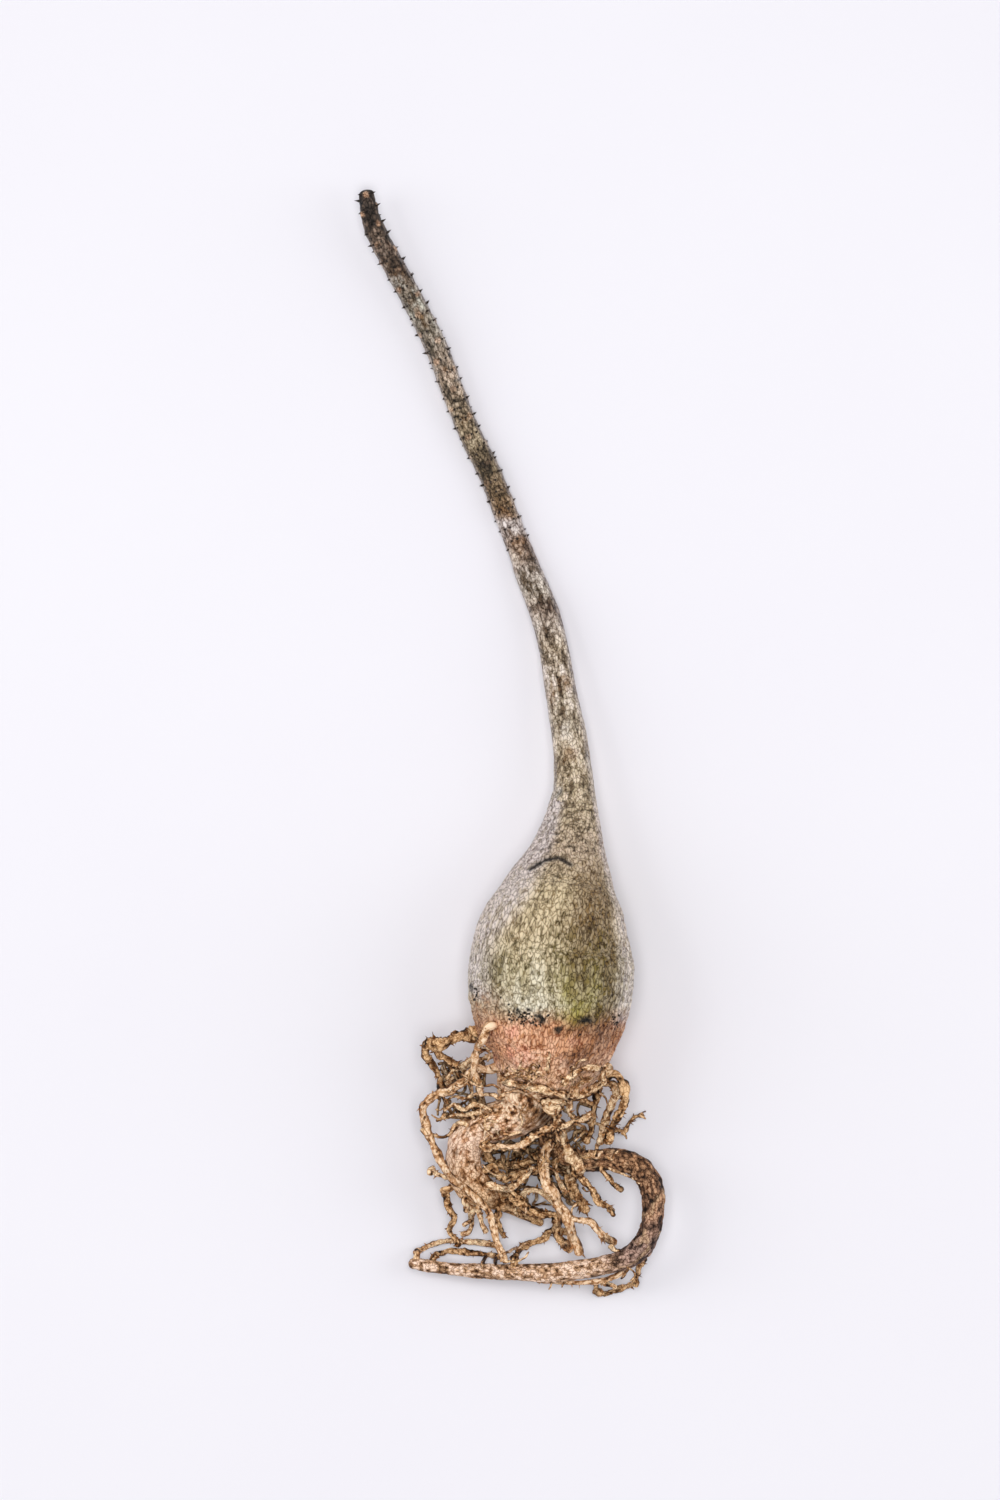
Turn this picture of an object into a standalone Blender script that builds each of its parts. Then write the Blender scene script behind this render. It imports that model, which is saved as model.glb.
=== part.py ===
"""A bare-root pachypodium, lifted from the ground and lying on its side.

The plant is a swollen caudex that narrows into one long, thin, leafless stem. Under the caudex the crown
narrows to a knob and a twisted taproot. One thick root bends round in a hook, and thin side roots tangle
round the crown.

Frame: metres, +Y from the roots to the tip of the stem, +X across the plant, +Z up. The origin is on the
surface that the plant lies on, under the middle of its bounding box.

Everything is drawn in one plan, in millimetres, with its zero near the middle of the plant. Heights of roots
are counted from the caudex's axis, or they rest on the surface.
"""

import math

import bpy
import numpy as np
from mathutils import Vector
from mathutils.bvhtree import BVHTree

# Driving dimensions, in millimetres.
CAUDEX_RADIUS = 24.9  # half the greatest width of the swollen base
CAUDEX_LENGTH = 80.0  # from the crown to the neck
CROWN_Y = -99.0  # where the caudex ends and the taproot begins
STEM_RADIUS = 3.8
STEM_LENGTH = 185.5  # from the neck to the tip
TIP_RISE = 10.0  # how far the tip's underside is above the surface
TAPROOT_RADIUS = 5.4
HOOK_RADIUS = 3.5
COARSE_ROOT = 1.7  # radii of the three sizes of side root, where they leave the plant
MIDDLE_ROOT = 1.25
FINE_ROOT = 0.8
JOIN_GAP = 0.3  # between a root's end face and what it grows from
CROSSING_GAP = 0.6  # between two roots that pass each other
SURFACE_GAP = 0.5  # between a root and the caudex or hook that it passes

# How finely the solids are faceted.
BODY_SIDES = 20
HOOK_SIDES = 10
ROOT_SIDES = 6
BODY_STEP = 3.6  # spacing of the rings along the caudex and stem, and along the hooked root
HOOK_STEP = 3.2
SPLINE_STEPS = 16  # points that a curve is worked out at, between two of its route's points
END_RING = 0.55  # a tube's rounded end, in radii: how far out its last ring is
END_RING_RADIUS = 0.68  # how wide that ring is
END_POLE = 0.85  # and how far out the end itself is
RING_EVERY = 2  # a side root has a ring at every second one of its points
STEEP = 0.9  # a direction whose Z is over this is taken as upright

# How the roots are laid clear of each other, in millimetres where it isn't a count or a share of the radius.
SAMPLE_STEP = 1.2  # spacing of the points that roots are settled by
STRAIGHT_START = 1.3  # a root first runs straight out of its parent for this many radii
JOIN_REACH = 1.6  # and for this many radii it may be near its parent
RIM_POINTS = 8  # places round a root's end face that keep the gap
RIM_TRIES = 4
LYING_HEIGHT = 0.95  # a lying root's axis is this share of its radius above the surface
LYING_LIMIT = 1.02  # and a root whose axis is lower than this isn't lifted or lowered
NEAR_MARGIN = 3.0  # pairs of points that start this much farther apart than they need are left alone
SETTLE_STEPS = 100  # the last FIRM_STEPS of them without smoothing
FIRM_STEPS = 40
MOST_PUSH = 1.0  # how far one step moves a root out of what it passes
LUMP_DEPTH = 0.08  # roots swell and narrow by this share of their radius
LUMP_LENGTH = 9.0

MM = 0.001
REST = None  # as a height: the root lies on the surface there

# The caudex, crown to neck: share of its length, X, share of the caudex's fullness, height of its underside.
CAUDEX = [
    (0.0, 6.6, 0.43, 9.8),
    (0.05, 8.5, 0.626, 6.4),
    (0.1125, 9.9, 0.768, 4.0),
    (0.175, 10.7, 0.863, 2.5),
    (0.25, 11.4, 0.943, 1.0),
    (0.325, 11.8, 0.99, 0.1),
    (0.4, 12.0, 1.0, 0.0),
    (0.475, 12.2, 0.962, 0.7),
    (0.55, 12.9, 0.9, 1.9),
    (0.625, 14.0, 0.791, 3.4),
    (0.7, 15.0, 0.645, 5.1),
    (0.775, 16.2, 0.5, 7.1),
    (0.85, 17.2, 0.36, 8.8),
    (0.925, 18.0, 0.261, 9.6),
]

# The stem, neck to tip: share of its length, X, radius as a share of STEM_RADIUS, height of its underside,
# which counts TIP_RISE as 1 once the stem has touched the surface.
STEM_DOWN = [
    (0.0, 18.5, 2.0, 9.9),
    (0.0323, 18.9, 1.66, 9.8),
    (0.0647, 18.6, 1.5, 9.3),
    (0.097, 18.0, 1.42, 8.5),
    (0.1294, 17.2, 1.37, 7.6),
    (0.194, 15.0, 1.24, 5.8),
    (0.2588, 13.0, 1.18, 3.7),
    (0.3235, 9.9, 1.18, 1.6),
    (0.3881, 5.1, 1.08, 0.5),
    (0.42, 3.0, 0.98, 0.1),
]
STEM_UP = [
    (0.4852, -1.8, 0.95, 0.0),
    (0.5499, -6.6, 0.93, 0.0),
    (0.6146, -12.6, 0.9, 0.06),
    (0.6792, -17.4, 0.9, 0.15),
    (0.7439, -21.9, 0.9, 0.28),
    (0.8086, -27.7, 0.88, 0.42),
    (0.8733, -34.2, 0.86, 0.58),
    (0.938, -40.6, 0.82, 0.78),
    (0.97, -42.6, 0.71, 0.89),
    (1.0, -43.5, 0.6, 1.0),
]

# The knob and the twisted taproot: X, Y, height from the caudex's axis, radius as a share of TAPROOT_RADIUS.
TAPROOT = [
    (5.3, -102.6, -2.9, 1.72),
    (4.6, -106.6, -4.2, 1.5),
    (1.2, -110.2, -5.5, 1.24),
    (-4.5, -112.2, -6.4, 1.1),
    (-9.3, -114.2, -7.2, 1.04),
    (-13.0, -118.6, -8.2, 1.0),
    (-14.5, -124.0, -9.2, 0.98),
    (-12.8, -129.5, -10.2, 1.0),
    (-8.2, -134.0, -11.6, 0.87),
    (-2.2, -137.2, -14.4, 0.54),
    (4.0, -141.0, -18.6, 0.31),
    (9.0, -143.5, -22.2, 0.22),
]

# The hooked root: X, Y, height from the caudex's axis, radius as a share of HOOK_RADIUS.
HOOK = [
    (8.0, -112.0, -11.0, 0.85),
    (10.5, -116.8, -12.4, 0.85),
    (15.0, -121.8, -12.4, 0.86),
    (22.0, -124.5, -11.0, 0.88),
    (28.0, -124.0, -9.8, 0.95),
    (34.0, -124.3, -8.4, 1.0),
    (38.7, -126.4, -7.0, 1.02),
    (41.6, -130.4, -6.0, 1.02),
    (42.6, -136.0, -5.0, 0.97),
    (42.2, -142.0, -5.0, 0.93),
    (40.5, -148.0, -5.8, 0.94),
    (37.0, -152.2, -7.0, 0.94),
    (31.0, -154.8, -8.0, 0.86),
    (24.0, -156.5, -9.0, 0.83),
    (15.0, -157.8, -10.2, 0.83),
    (5.0, -158.0, -11.6, 0.77),
    (-5.0, -157.8, -13.0, 0.69),
    (-15.0, -157.2, -14.4, 0.57),
    (-24.0, -156.4, -16.0, 0.54),
    (-29.5, -155.6, -17.0, 0.51),
]

# Side roots: name, what it grows from, tone, radius, radius at its tip as a share, route. A route is X, Y
# and height from the caudex's axis, and its first point only says where on its parent the root starts.
ROOTS = [
    (
        "knotted_root", "caudex", "dark", COARSE_ROOT * 1.2, 0.75,
        [(-10, -85, 1), (-16, -86.5, 2), (-20, -88.5, 3), (-24.5, -88.3, 3)],
    ),
    (
        "upper_left_strand", "caudex", "tan", FINE_ROOT, 0.8,
        [(-10.5, -92, -2), (-15, -95.5, -4), (-18, -97.5, -5), (-19.3, -99.5, -5.5)],
    ),
    (
        "lower_left_strand", "caudex", "tan", FINE_ROOT, 0.8,
        [(-9, -94, -6), (-12.5, -95.5, -7), (-16, -98, -8), (-19, -101, -9)],
    ),
    (
        "long_pale_root", "caudex", "pale", MIDDLE_ROOT * 1.1, 0.75,
        [
            (-5, -96, 1), (-11, -97, 3), (-14, -99.5, 3), (-18, -102.5, 2), (-22, -104, 1),
            (-25, -106, -1), (-26.3, -107.8, -2), (-26, -110, -3), (-25.5, -113, -4), (-25, -115.5, -4),
            (-24, -118, -4), (-22.5, -121.5, -3), (-20.5, -125.5, -2), (-18, -129, -1.5),
            (-15, -131.5, -2), (-12, -134, -3), (-9.5, -136.5, -5), (-7, -139, -6.5), (-6, -142, -7),
            (-5, -145, -7.5), (-4, -148.5, -8), (-3, -151.5, -8), (-2.2, -154, -8),
        ],
    ),
    (
        "front_pale_root", "caudex", "pale", MIDDLE_ROOT * 1.15, 0.55,
        [
            (-5.5, -83, 15), (-8, -86, 14.5), (-9.8, -89, 12.5), (-10.8, -92, 10.5), (-11.2, -95, 8.5),
            (-10.5, -98, 6.5), (-9.7, -101, 4.5), (-9, -104, 2.5),
        ],
    ),
    (
        "top_brown_rootlet", "caudex", "tan", FINE_ROOT * 0.8, 0.7,
        [
            (-2, -104, 2), (-7, -103.5, 0), (-11, -104, -1), (-14, -105.5, -1.5), (-17, -105, -2),
            (-19.5, -106.5, -3),
        ],
    ),
    (
        "middle_brown_rootlet", "caudex", "tan", FINE_ROOT * 0.9, 0.7,
        [(-6, -109, 0), (-11, -107, -1), (-14, -108.5, -1.5), (-17, -107.5, -2), (-20, -108.8, -3)],
    ),
    (
        "lower_brown_rootlet", "caudex", "tan", FINE_ROOT * 0.9, 0.7,
        [(-8, -111, -3), (-13, -111.2, -4.5), (-16, -110.3, -6), (-19, -111.2, -7), (-22, -112.2, -8)],
    ),
    (
        "looped_rootlet", "caudex", "tan", FINE_ROOT * 0.9, 0.8,
        [(-13, -113.5, -4), (-16, -113.3, -5), (-18.5, -116, -6), (-21, -117, -6.5), (-23, -116.3, -7)],
    ),
    (
        "curled_rootlet", "caudex", "tan", FINE_ROOT * 0.9, 1.2,
        [(-17.5, -128, -8), (-21.5, -128.6, -8), (-22.8, -127.8, -8), (-24, -126.8, -8)],
    ),
    (
        "lower_left_root", "caudex", "dark", FINE_ROOT * 1.3, 0.8,
        [
            (-16.5, -131.5, -10), (-19.7, -132.8, -11), (-19.8, -136, -12), (-18.5, -139.5, -13),
            (-17, -142, -14), (-18, -144, -14.5), (-18, -146.5, -15), (-16.6, -148.2, -15.5),
            (-16, -150, -16),
        ],
    ),
    (
        "u_shaped_rootlet", "caudex", "tan", FINE_ROOT * 1.1, 0.9,
        [
            (-10.5, -134.5, -12), (-11, -138.5, -13), (-12, -141, -14), (-11.7, -143.5, -15),
            (-12.5, -145.8, -15.5), (-14.3, -146.6, -15.5),
        ],
    ),
    (
        "taproot_stub", "caudex", "tan", FINE_ROOT * 1.2, 0.8,
        [(-9.3, -136, -9), (-10, -139, -8.5), (-9, -142, -9), (-7.6, -145.5, -10)],
    ),
    (
        "taproot_bud", "caudex", "tan", FINE_ROOT, 1.1,
        [(-12.5, -133.5, -9), (-13, -137, -9), (-13.2, -139, -9.5)],
    ),
    (
        "taproot_branch", "caudex", "dark", FINE_ROOT, 0.8,
        [(-4, -137, -13), (-5, -141, -13), (-4.5, -143, -13.5), (-3, -145.5, -14), (-2, -147.5, -14.5)],
    ),
    (
        "crown_cross_root", "caudex", "tan", MIDDLE_ROOT, 0.8,
        [
            (-2, -98.6, 7), (1, -99.8, 10.5), (5, -100.2, 12), (10, -100.2, 11.5), (14, -100, 9),
            (16, -101.7, 7), (15.3, -103.6, 5.5), (12.5, -104.3, 5.5), (9.5, -103.6, 6.5),
        ],
    ),
    (
        "crown_arch_root", "caudex", "tan", FINE_ROOT * 1.1, 0.9,
        [(22.5, -93.5, 9), (20, -94.6, 13.5), (17.5, -95.6, 14), (16, -97.4, 13), (15, -98.6, 12)],
    ),
    (
        "ring_root", "caudex", "tan", MIDDLE_ROOT * 0.95, 0.8,
        [
            (25.2, -93.5, 4), (25.8, -96, 6), (27.3, -98, 6), (27.6, -99.9, 5), (25.5, -101.5, 4.5),
            (22, -102.4, 4.5), (19.5, -103.4, 4), (17.7, -102.2, 4.5), (17.6, -99.9, 7),
            (18.9, -97.8, 9.5), (20.8, -96.8, 10),
        ],
    ),
    (
        "outer_right_root", "caudex", "dark", MIDDLE_ROOT * 1.15, 0.8,
        [
            (23.5, -96, -1), (28, -97.5, 0), (31, -97.9, 0), (33, -99.7, -0.5), (34, -103, -1),
            (34, -106, -2), (33, -109, -3), (31.5, -112, -4), (29.8, -115.3, -6), (28.7, -118.3, -7),
        ],
    ),
    (
        "middle_right_root", "caudex", "tan", MIDDLE_ROOT, 0.85,
        [
            (21, -98, -3), (25, -100, -3.5), (28, -100.9, -3.5), (30, -100.9, -4), (31.7, -102.2, -5),
            (31.9, -104.2, -5.5), (30.5, -107, -6), (29, -110, -6.5), (28, -113, -7), (27.4, -116, -7.5),
            (27, -118.6, -8),
        ],
    ),
    (
        "inner_right_root", "caudex", "dark", MIDDLE_ROOT, 0.8,
        [
            (19, -99.5, -6), (23, -100.5, -7.5), (26.3, -101.8, -8.5), (26.1, -104.5, -9.5),
            (25.5, -107, -10), (25, -110, -10.5), (24.5, -113, -11), (24, -116, -11.5),
            (22.7, -118.8, -12),
        ],
    ),
    (
        "dark_stub_root", "caudex", "dark", FINE_ROOT * 1.1, 0.9,
        [(15, -102, -1), (19.5, -104.8, -1), (22, -105.8, -1), (24.3, -107, -1.5)],
    ),
    (
        "zigzag_root", "caudex", "tan", FINE_ROOT * 1.1, 0.8,
        [
            (13, -102.5, 1), (16.5, -104.6, 1), (17.5, -107, 1), (17.1, -109.4, 1), (18.9, -111.3, 0.5),
            (21.8, -110.8, 0), (24, -109.4, -0.5),
        ],
    ),
    (
        "central_root", "caudex", "tan", COARSE_ROOT, 0.85,
        [
            (9, -104.5, 1), (12.2, -106, 2), (13, -109, 1.5), (14, -113, 0), (15, -116, -1),
            (16.5, -119.5, -2), (17.2, -122, -3), (19, -124.5, -4), (21.5, -126.6, -5),
        ],
    ),
    (
        "crossing_root", "caudex", "tan", MIDDLE_ROOT * 0.95, 0.75,
        [
            (-8, -119.5, -3), (-4, -119.7, -2), (1, -120, -1), (4, -118.5, 1), (7, -116.5, 2),
            (11, -114.6, 3.5), (16, -113.5, 4), (20, -112, 3), (24, -110, 2),
        ],
    ),
    (
        "forked_twig_root", "hook", "dark", FINE_ROOT * 0.9, 0.8,
        [
            (26, -121.5, -11), (27.5, -117.8, -16), (29.5, -115.3, -21), (32, -116, REST),
            (34.5, -116.2, REST), (35.2, -114.4, REST), (36.5, -112.5, REST), (38, -111.3, REST),
            (40, -111, REST),
        ],
    ),
    (
        "bud_tipped_root", "hook", "dark", MIDDLE_ROOT * 1.05, 0.7,
        [
            (17.5, -122, -9), (19.3, -126, -8), (20.7, -129, -8.5), (23, -131.5, -9), (25, -134, -9.5),
            (26.3, -136.6, -10), (28.2, -137.8, -10), (30.2, -139.5, -10),
        ],
    ),
    (
        "dark_thick_root", "hook", "dark", COARSE_ROOT * 1.05, 0.85,
        [
            (18.5, -125.5, -14), (17.8, -129, -15), (17.8, -131.5, -15.5), (18.9, -133.8, -16),
            (20.7, -136.2, -16.5), (22.5, -139.5, -17),
        ],
    ),
    (
        "front_hanging_root", "hook", "pale", COARSE_ROOT, 0.85,
        [
            (11.5, -119.5, -9), (9.8, -124, -7), (9.5, -128, -6), (11, -131, -6), (13, -134.5, -6.5),
            (14.5, -138, -7), (16.5, -141.5, -7), (18, -145, -7.5), (19.2, -148.5, -8),
            (20.4, -152, -8.5),
        ],
    ),
    (
        "bridging_root", "caudex", "tan", MIDDLE_ROOT * 0.9, 0.8,
        [
            (2.5, -137.5, -15), (4, -134.5, -13.5), (7, -133.2, -13), (9.5, -134, -13), (12, -136, -13.5),
            (13.5, -137.4, -13.5),
        ],
    ),
    (
        "bead_tipped_root", "hook", "dark", FINE_ROOT * 0.8, 1.3,
        [(27.5, -126.5, -7.5), (29.5, -129, -7.5), (30.8, -131, -8), (32.3, -132.2, -8.5)],
    ),
    (
        "club_root", "caudex", "dark", COARSE_ROOT, 0.7,
        [
            (-2, -134.5, -11), (2.6, -137, -10), (6, -139, -10.3), (8.7, -140.4, -11), (13, -141.2, -12),
            (14.2, -143.7, -13), (13.6, -146, -14), (15, -148.4, -15), (17, -150.2, -15.5),
        ],
    ),
    (
        "slender_root", "hook", "tan", FINE_ROOT * 1.1, 0.8,
        [(14, -124, -10), (13.3, -127.5, -10.5), (14.6, -131, -10.5), (16.6, -134, -11)],
    ),
    (
        "upper_return_strand", "hook", "tan", FINE_ROOT * 1.1, 0.9,
        [
            (-28.5, -154.5, -17), (-28.3, -152, -19.5), (-25.2, -150.6, -22), (-21, -149.8, -23.6),
            (-17, -149.2, REST), (-12, -149.5, REST), (-8, -150, REST), (-4, -151, REST),
        ],
    ),
    (
        "lower_return_strand", "hook", "dark", FINE_ROOT * 1.1, 0.9,
        [
            (-23.5, -154.5, -18), (-21.8, -153, -22), (-19, -152, REST), (-15, -152.3, REST),
            (-10, -152.8, REST), (-5, -153.5, REST), (-2, -153.7, REST),
        ],
    ),
    (
        "surface_strand", "hook", "dark", MIDDLE_ROOT * 0.9, 0.8,
        [
            (1, -156, -11), (1.5, -153.2, -15), (3, -151, -21), (5, -149.8, REST), (8, -149, REST),
            (10.3, -148.2, REST), (11.2, -146.4, REST), (12.7, -145.6, REST), (15, -145.8, REST),
            (17, -146.5, REST),
        ],
    ),
    (
        "lower_right_rootlet", "hook", "dark", FINE_ROOT, 0.9,
        [
            (38.7, -152, -8), (38.5, -157, -13.5), (38, -160.4, -18.5), (36.6, -162.2, -22.5),
            (34.3, -163.2, REST), (31, -164.2, REST), (28, -164.9, REST), (26, -164, REST),
            (25.8, -161.4, REST),
        ],
    ),
    (
        "under_hook_root", "hook", "pale", FINE_ROOT * 1.1, 0.7,
        [
            (34, -155.5, -9), (32.3, -158.6, -10.5), (30, -159.8, -11.5), (26, -160.9, -12.5),
            (20, -161.4, -13.5), (14, -161.1, -14), (8, -160.8, -14.5),
        ],
    ),
    (
        "shaded_root", "caudex", "dark", COARSE_ROOT * 0.85, 0.8,
        [
            (-9.5, -121, -13), (-6, -124.3, -14), (-1.5, -126, -15), (3, -125.3, -15), (7, -123.8, -15),
            (11, -122.8, -15),
        ],
    ),
    (
        "inner_root", "caudex", "dark", MIDDLE_ROOT * 1.1, 0.8,
        [(-8.5, -128, -10), (-4, -128.8, -12), (0, -129, -12.5), (4, -127.9, -12.5), (8.5, -127.4, -12.5)],
    ),
    (
        "crumbling_root", "caudex", "tan", MIDDLE_ROOT * 0.9, 0.9,
        [
            (-6.3, -131.6, -6), (-2.2, -132.4, -6), (1.2, -131.6, -6.5), (4, -129.4, -6.5),
            (6.2, -126.8, -6.5),
        ],
    ),
]

# Branches grow out of a side root and are one piece with it: side root, radius, tip share, route.
BRANCHES = [
    (
        "knotted_root", MIDDLE_ROOT, 0.8,
        [(-24.2, -88.4, 3), (-22.3, -91, 0.5), (-19, -93.5, -1), (-16.5, -95.3, -2)],
    ),
    (
        "knotted_root", MIDDLE_ROOT, 0.75,
        [
            (-24.4, -88.4, 3), (-25.8, -91, 0), (-24.8, -94, -2), (-22.7, -97, -4), (-21.6, -99.5, -5.5),
            (-20.7, -102.5, -7),
        ],
    ),
    (
        "front_hanging_root", FINE_ROOT * 1.1, 1.4,
        [
            (16.6, -141.7, -7), (19, -142, -7), (22, -141.9, -7.5), (24.5, -143, -8), (26, -145, -8),
            (28, -147, -8.5), (29.5, -148, -8.5),
        ],
    ),
]

# Base colour, linear, and roughness of each tone.
TONES = {
    "caudex": ((0.30, 0.27, 0.17), 0.75),
    "hook": ((0.22, 0.15, 0.09), 0.8),
    "pale": ((0.48, 0.34, 0.20), 0.7),
    "tan": ((0.34, 0.22, 0.12), 0.8),
    "dark": ((0.16, 0.10, 0.06), 0.85),
}


def through(points, step):
    """A smooth curve through the points, evenly spaced: a centripetal Catmull-Rom spline in every column."""
    points = np.asarray(points, float)
    ends = np.vstack([2 * points[0] - points[1], points, 2 * points[-1] - points[-2]])
    knots = np.concatenate([[0], np.cumsum(np.linalg.norm(np.diff(ends[:, :3], axis=0), axis=1) ** 0.5)])
    pieces = []
    for k in range(1, len(ends) - 2):
        t0, t1, t2, t3 = knots[k - 1 : k + 3]
        t = np.linspace(t1, t2, SPLINE_STEPS, endpoint=False)[:, None]
        a1 = ((t1 - t) * ends[k - 1] + (t - t0) * ends[k]) / (t1 - t0)
        a2 = ((t2 - t) * ends[k] + (t - t1) * ends[k + 1]) / (t2 - t1)
        a3 = ((t3 - t) * ends[k + 1] + (t - t2) * ends[k + 2]) / (t3 - t2)
        b1 = ((t2 - t) * a1 + (t - t0) * a2) / (t2 - t0)
        b2 = ((t3 - t) * a2 + (t - t1) * a3) / (t3 - t1)
        pieces.append(((t2 - t) * b1 + (t - t1) * b2) / (t2 - t1))
    curve = np.vstack(pieces + [points[-1:]])
    run = np.concatenate([[0], np.cumsum(np.linalg.norm(np.diff(curve[:, :3], axis=0), axis=1))])
    places = np.linspace(0, run[-1], max(3, round(run[-1] / step) + 1))
    return np.column_stack([np.interp(places, run, column) for column in curve.T])


def body_stations():
    """The caudex, stem and taproot as rows of X, Y, Z and radius, from the stem's tip down."""
    rows = []
    neck = CROWN_Y + CAUDEX_LENGTH
    for share, x, thickness, underside in STEM_DOWN:
        radius = thickness * STEM_RADIUS
        rows.append((x, neck + share * STEM_LENGTH, radius + underside, radius))
    for share, x, thickness, underside in STEM_UP:
        radius = thickness * STEM_RADIUS
        rows.append((x, neck + share * STEM_LENGTH, radius + underside * TIP_RISE, radius))
    rows.reverse()
    for share, x, fullness, underside in reversed(CAUDEX):
        radius = STEM_RADIUS + fullness * (CAUDEX_RADIUS - STEM_RADIUS)
        rows.append((x, CROWN_Y + share * CAUDEX_LENGTH, radius + underside, radius))
    for x, y, height, thickness in TAPROOT:
        rows.append((x, y, CAUDEX_RADIUS + height, thickness * TAPROOT_RADIUS))
    return rows


def ring_frames(points, heading):
    """Two unit vectors across the curve at each point, carried along it without twisting. The first ring is
    square to the heading, if there is one."""
    tangents = np.gradient(points, axis=0)
    if heading is not None:
        tangents[0] = heading
    tangents /= np.linalg.norm(tangents, axis=1)[:, None]
    across = np.cross(tangents[0], (0, 0, 1) if abs(tangents[0][2]) < STEEP else (1, 0, 0))
    sides = []
    for tangent in tangents:
        across = across - tangent * across.dot(tangent)
        across = across / np.linalg.norm(across)
        sides.append(across)
    sides = np.array(sides)
    return tangents, sides, np.cross(sides, tangents)


def tube(rows, sides, heading=None):
    """Vertices and faces of a closed tube: rings round the rows' points, a flat start and a rounded end."""
    centres = rows[:, :3]
    radii = rows[:, 3]
    tangents, first, second = ring_frames(centres, heading)
    centres = np.vstack([centres, centres[-1] + tangents[-1] * radii[-1] * END_RING])
    radii = np.append(radii, radii[-1] * END_RING_RADIUS)
    first = np.vstack([first, first[-1:]])
    second = np.vstack([second, second[-1:]])
    turn = np.arange(sides) * 2 * math.pi / sides
    round_ring = np.cos(turn)[None, :, None] * second[:, None] + np.sin(turn)[None, :, None] * first[:, None]
    rings = centres[:, None] + round_ring * radii[:, None, None]
    vertices = list(map(tuple, rings.reshape(-1, 3)))
    faces = []
    for ring in range(len(rings) - 1):
        for side in range(sides):
            following = (side + 1) % sides
            low = ring * sides
            high = low + sides
            faces.append((low + side, low + following, high + following, high + side))
    start_pole = len(vertices)
    vertices.append(tuple(rows[0, :3]))
    end_pole = len(vertices)
    vertices.append(tuple(rows[-1, :3] + tangents[-1] * rows[-1, 3] * END_POLE))
    last = (len(rings) - 1) * sides
    for side in range(sides):
        following = (side + 1) % sides
        faces.append((start_pole, following, side))
        faces.append((end_pole, last + side, last + following))
    return vertices, faces


def height_over(tree, place):
    """How far a place is outside a surface, and the surface's normal there."""
    point = Vector(place)
    surface, normal, _, distance = tree.find_nearest(point)
    outside = (point - surface).dot(normal) >= 0
    return (distance if outside else -distance), np.array(normal)


def start_on(tree, place, radius):
    """Where a root of this radius starts on a surface near a place, and a point straight out from there. Its
    end face keeps JOIN_GAP all round, also where the surface is hollow."""
    distance, normal = height_over(tree, place)
    start = np.array(place) + normal * (JOIN_GAP - distance)
    across = np.cross(normal, (0, 0, 1) if abs(normal[2]) < STEEP else (1, 0, 0))
    across /= np.linalg.norm(across)
    square = np.cross(normal, across)
    turn = np.arange(RIM_POINTS)[:, None] * 2 * math.pi / RIM_POINTS
    rim = radius * (1 + LUMP_DEPTH) * (np.cos(turn) * across + np.sin(turn) * square)
    for _ in range(RIM_TRIES):
        lowest = min(height_over(tree, start + edge)[0] for edge in rim)
        start = start + normal * max(0, JOIN_GAP - lowest)
    return start, start + normal * STRAIGHT_START * radius


def moved_clear(tree, place, radius, most):
    """The place moved straight out of a surface, at most so far, to where such a root passes it."""
    distance, normal = height_over(tree, place)
    deficit = radius + SURFACE_GAP - distance
    return np.array(place) + normal * min(max(deficit, 0), most)


def with_heights(route, radius):
    """The route with each height counted from the surface that the plant lies on."""
    placed = []
    for x, y, height in route:
        lying = LYING_HEIGHT * radius
        placed.append((x, y, lying if height is REST else max(CAUDEX_RADIUS + height, radius)))
    return placed


def strand(points, radius, tip_share, phase):
    """A root as evenly spaced rows of X, Y, Z and radius, which swells and narrows a little on its way."""
    curve = through(points, SAMPLE_STEP)
    along = np.linspace(0, 1, len(curve))
    lumps = 1 + LUMP_DEPTH * np.sin(2 * math.pi * np.arange(len(curve)) * SAMPLE_STEP / LUMP_LENGTH + phase)
    radii = radius * (1 + (tip_share - 1) * along) * lumps
    curve[:, 2] = np.maximum(curve[:, 2], radii)
    return np.column_stack([curve, radii])


def smoothed(moves):
    """Each move drawn half way to the mean of its neighbours', with the first left as it is."""
    padded = np.vstack([moves, moves[-1:]])
    middle = 0.5 * moves[1:] + 0.25 * (padded[:-2] + padded[2:])
    return np.vstack([moves[:1], middle])


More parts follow.
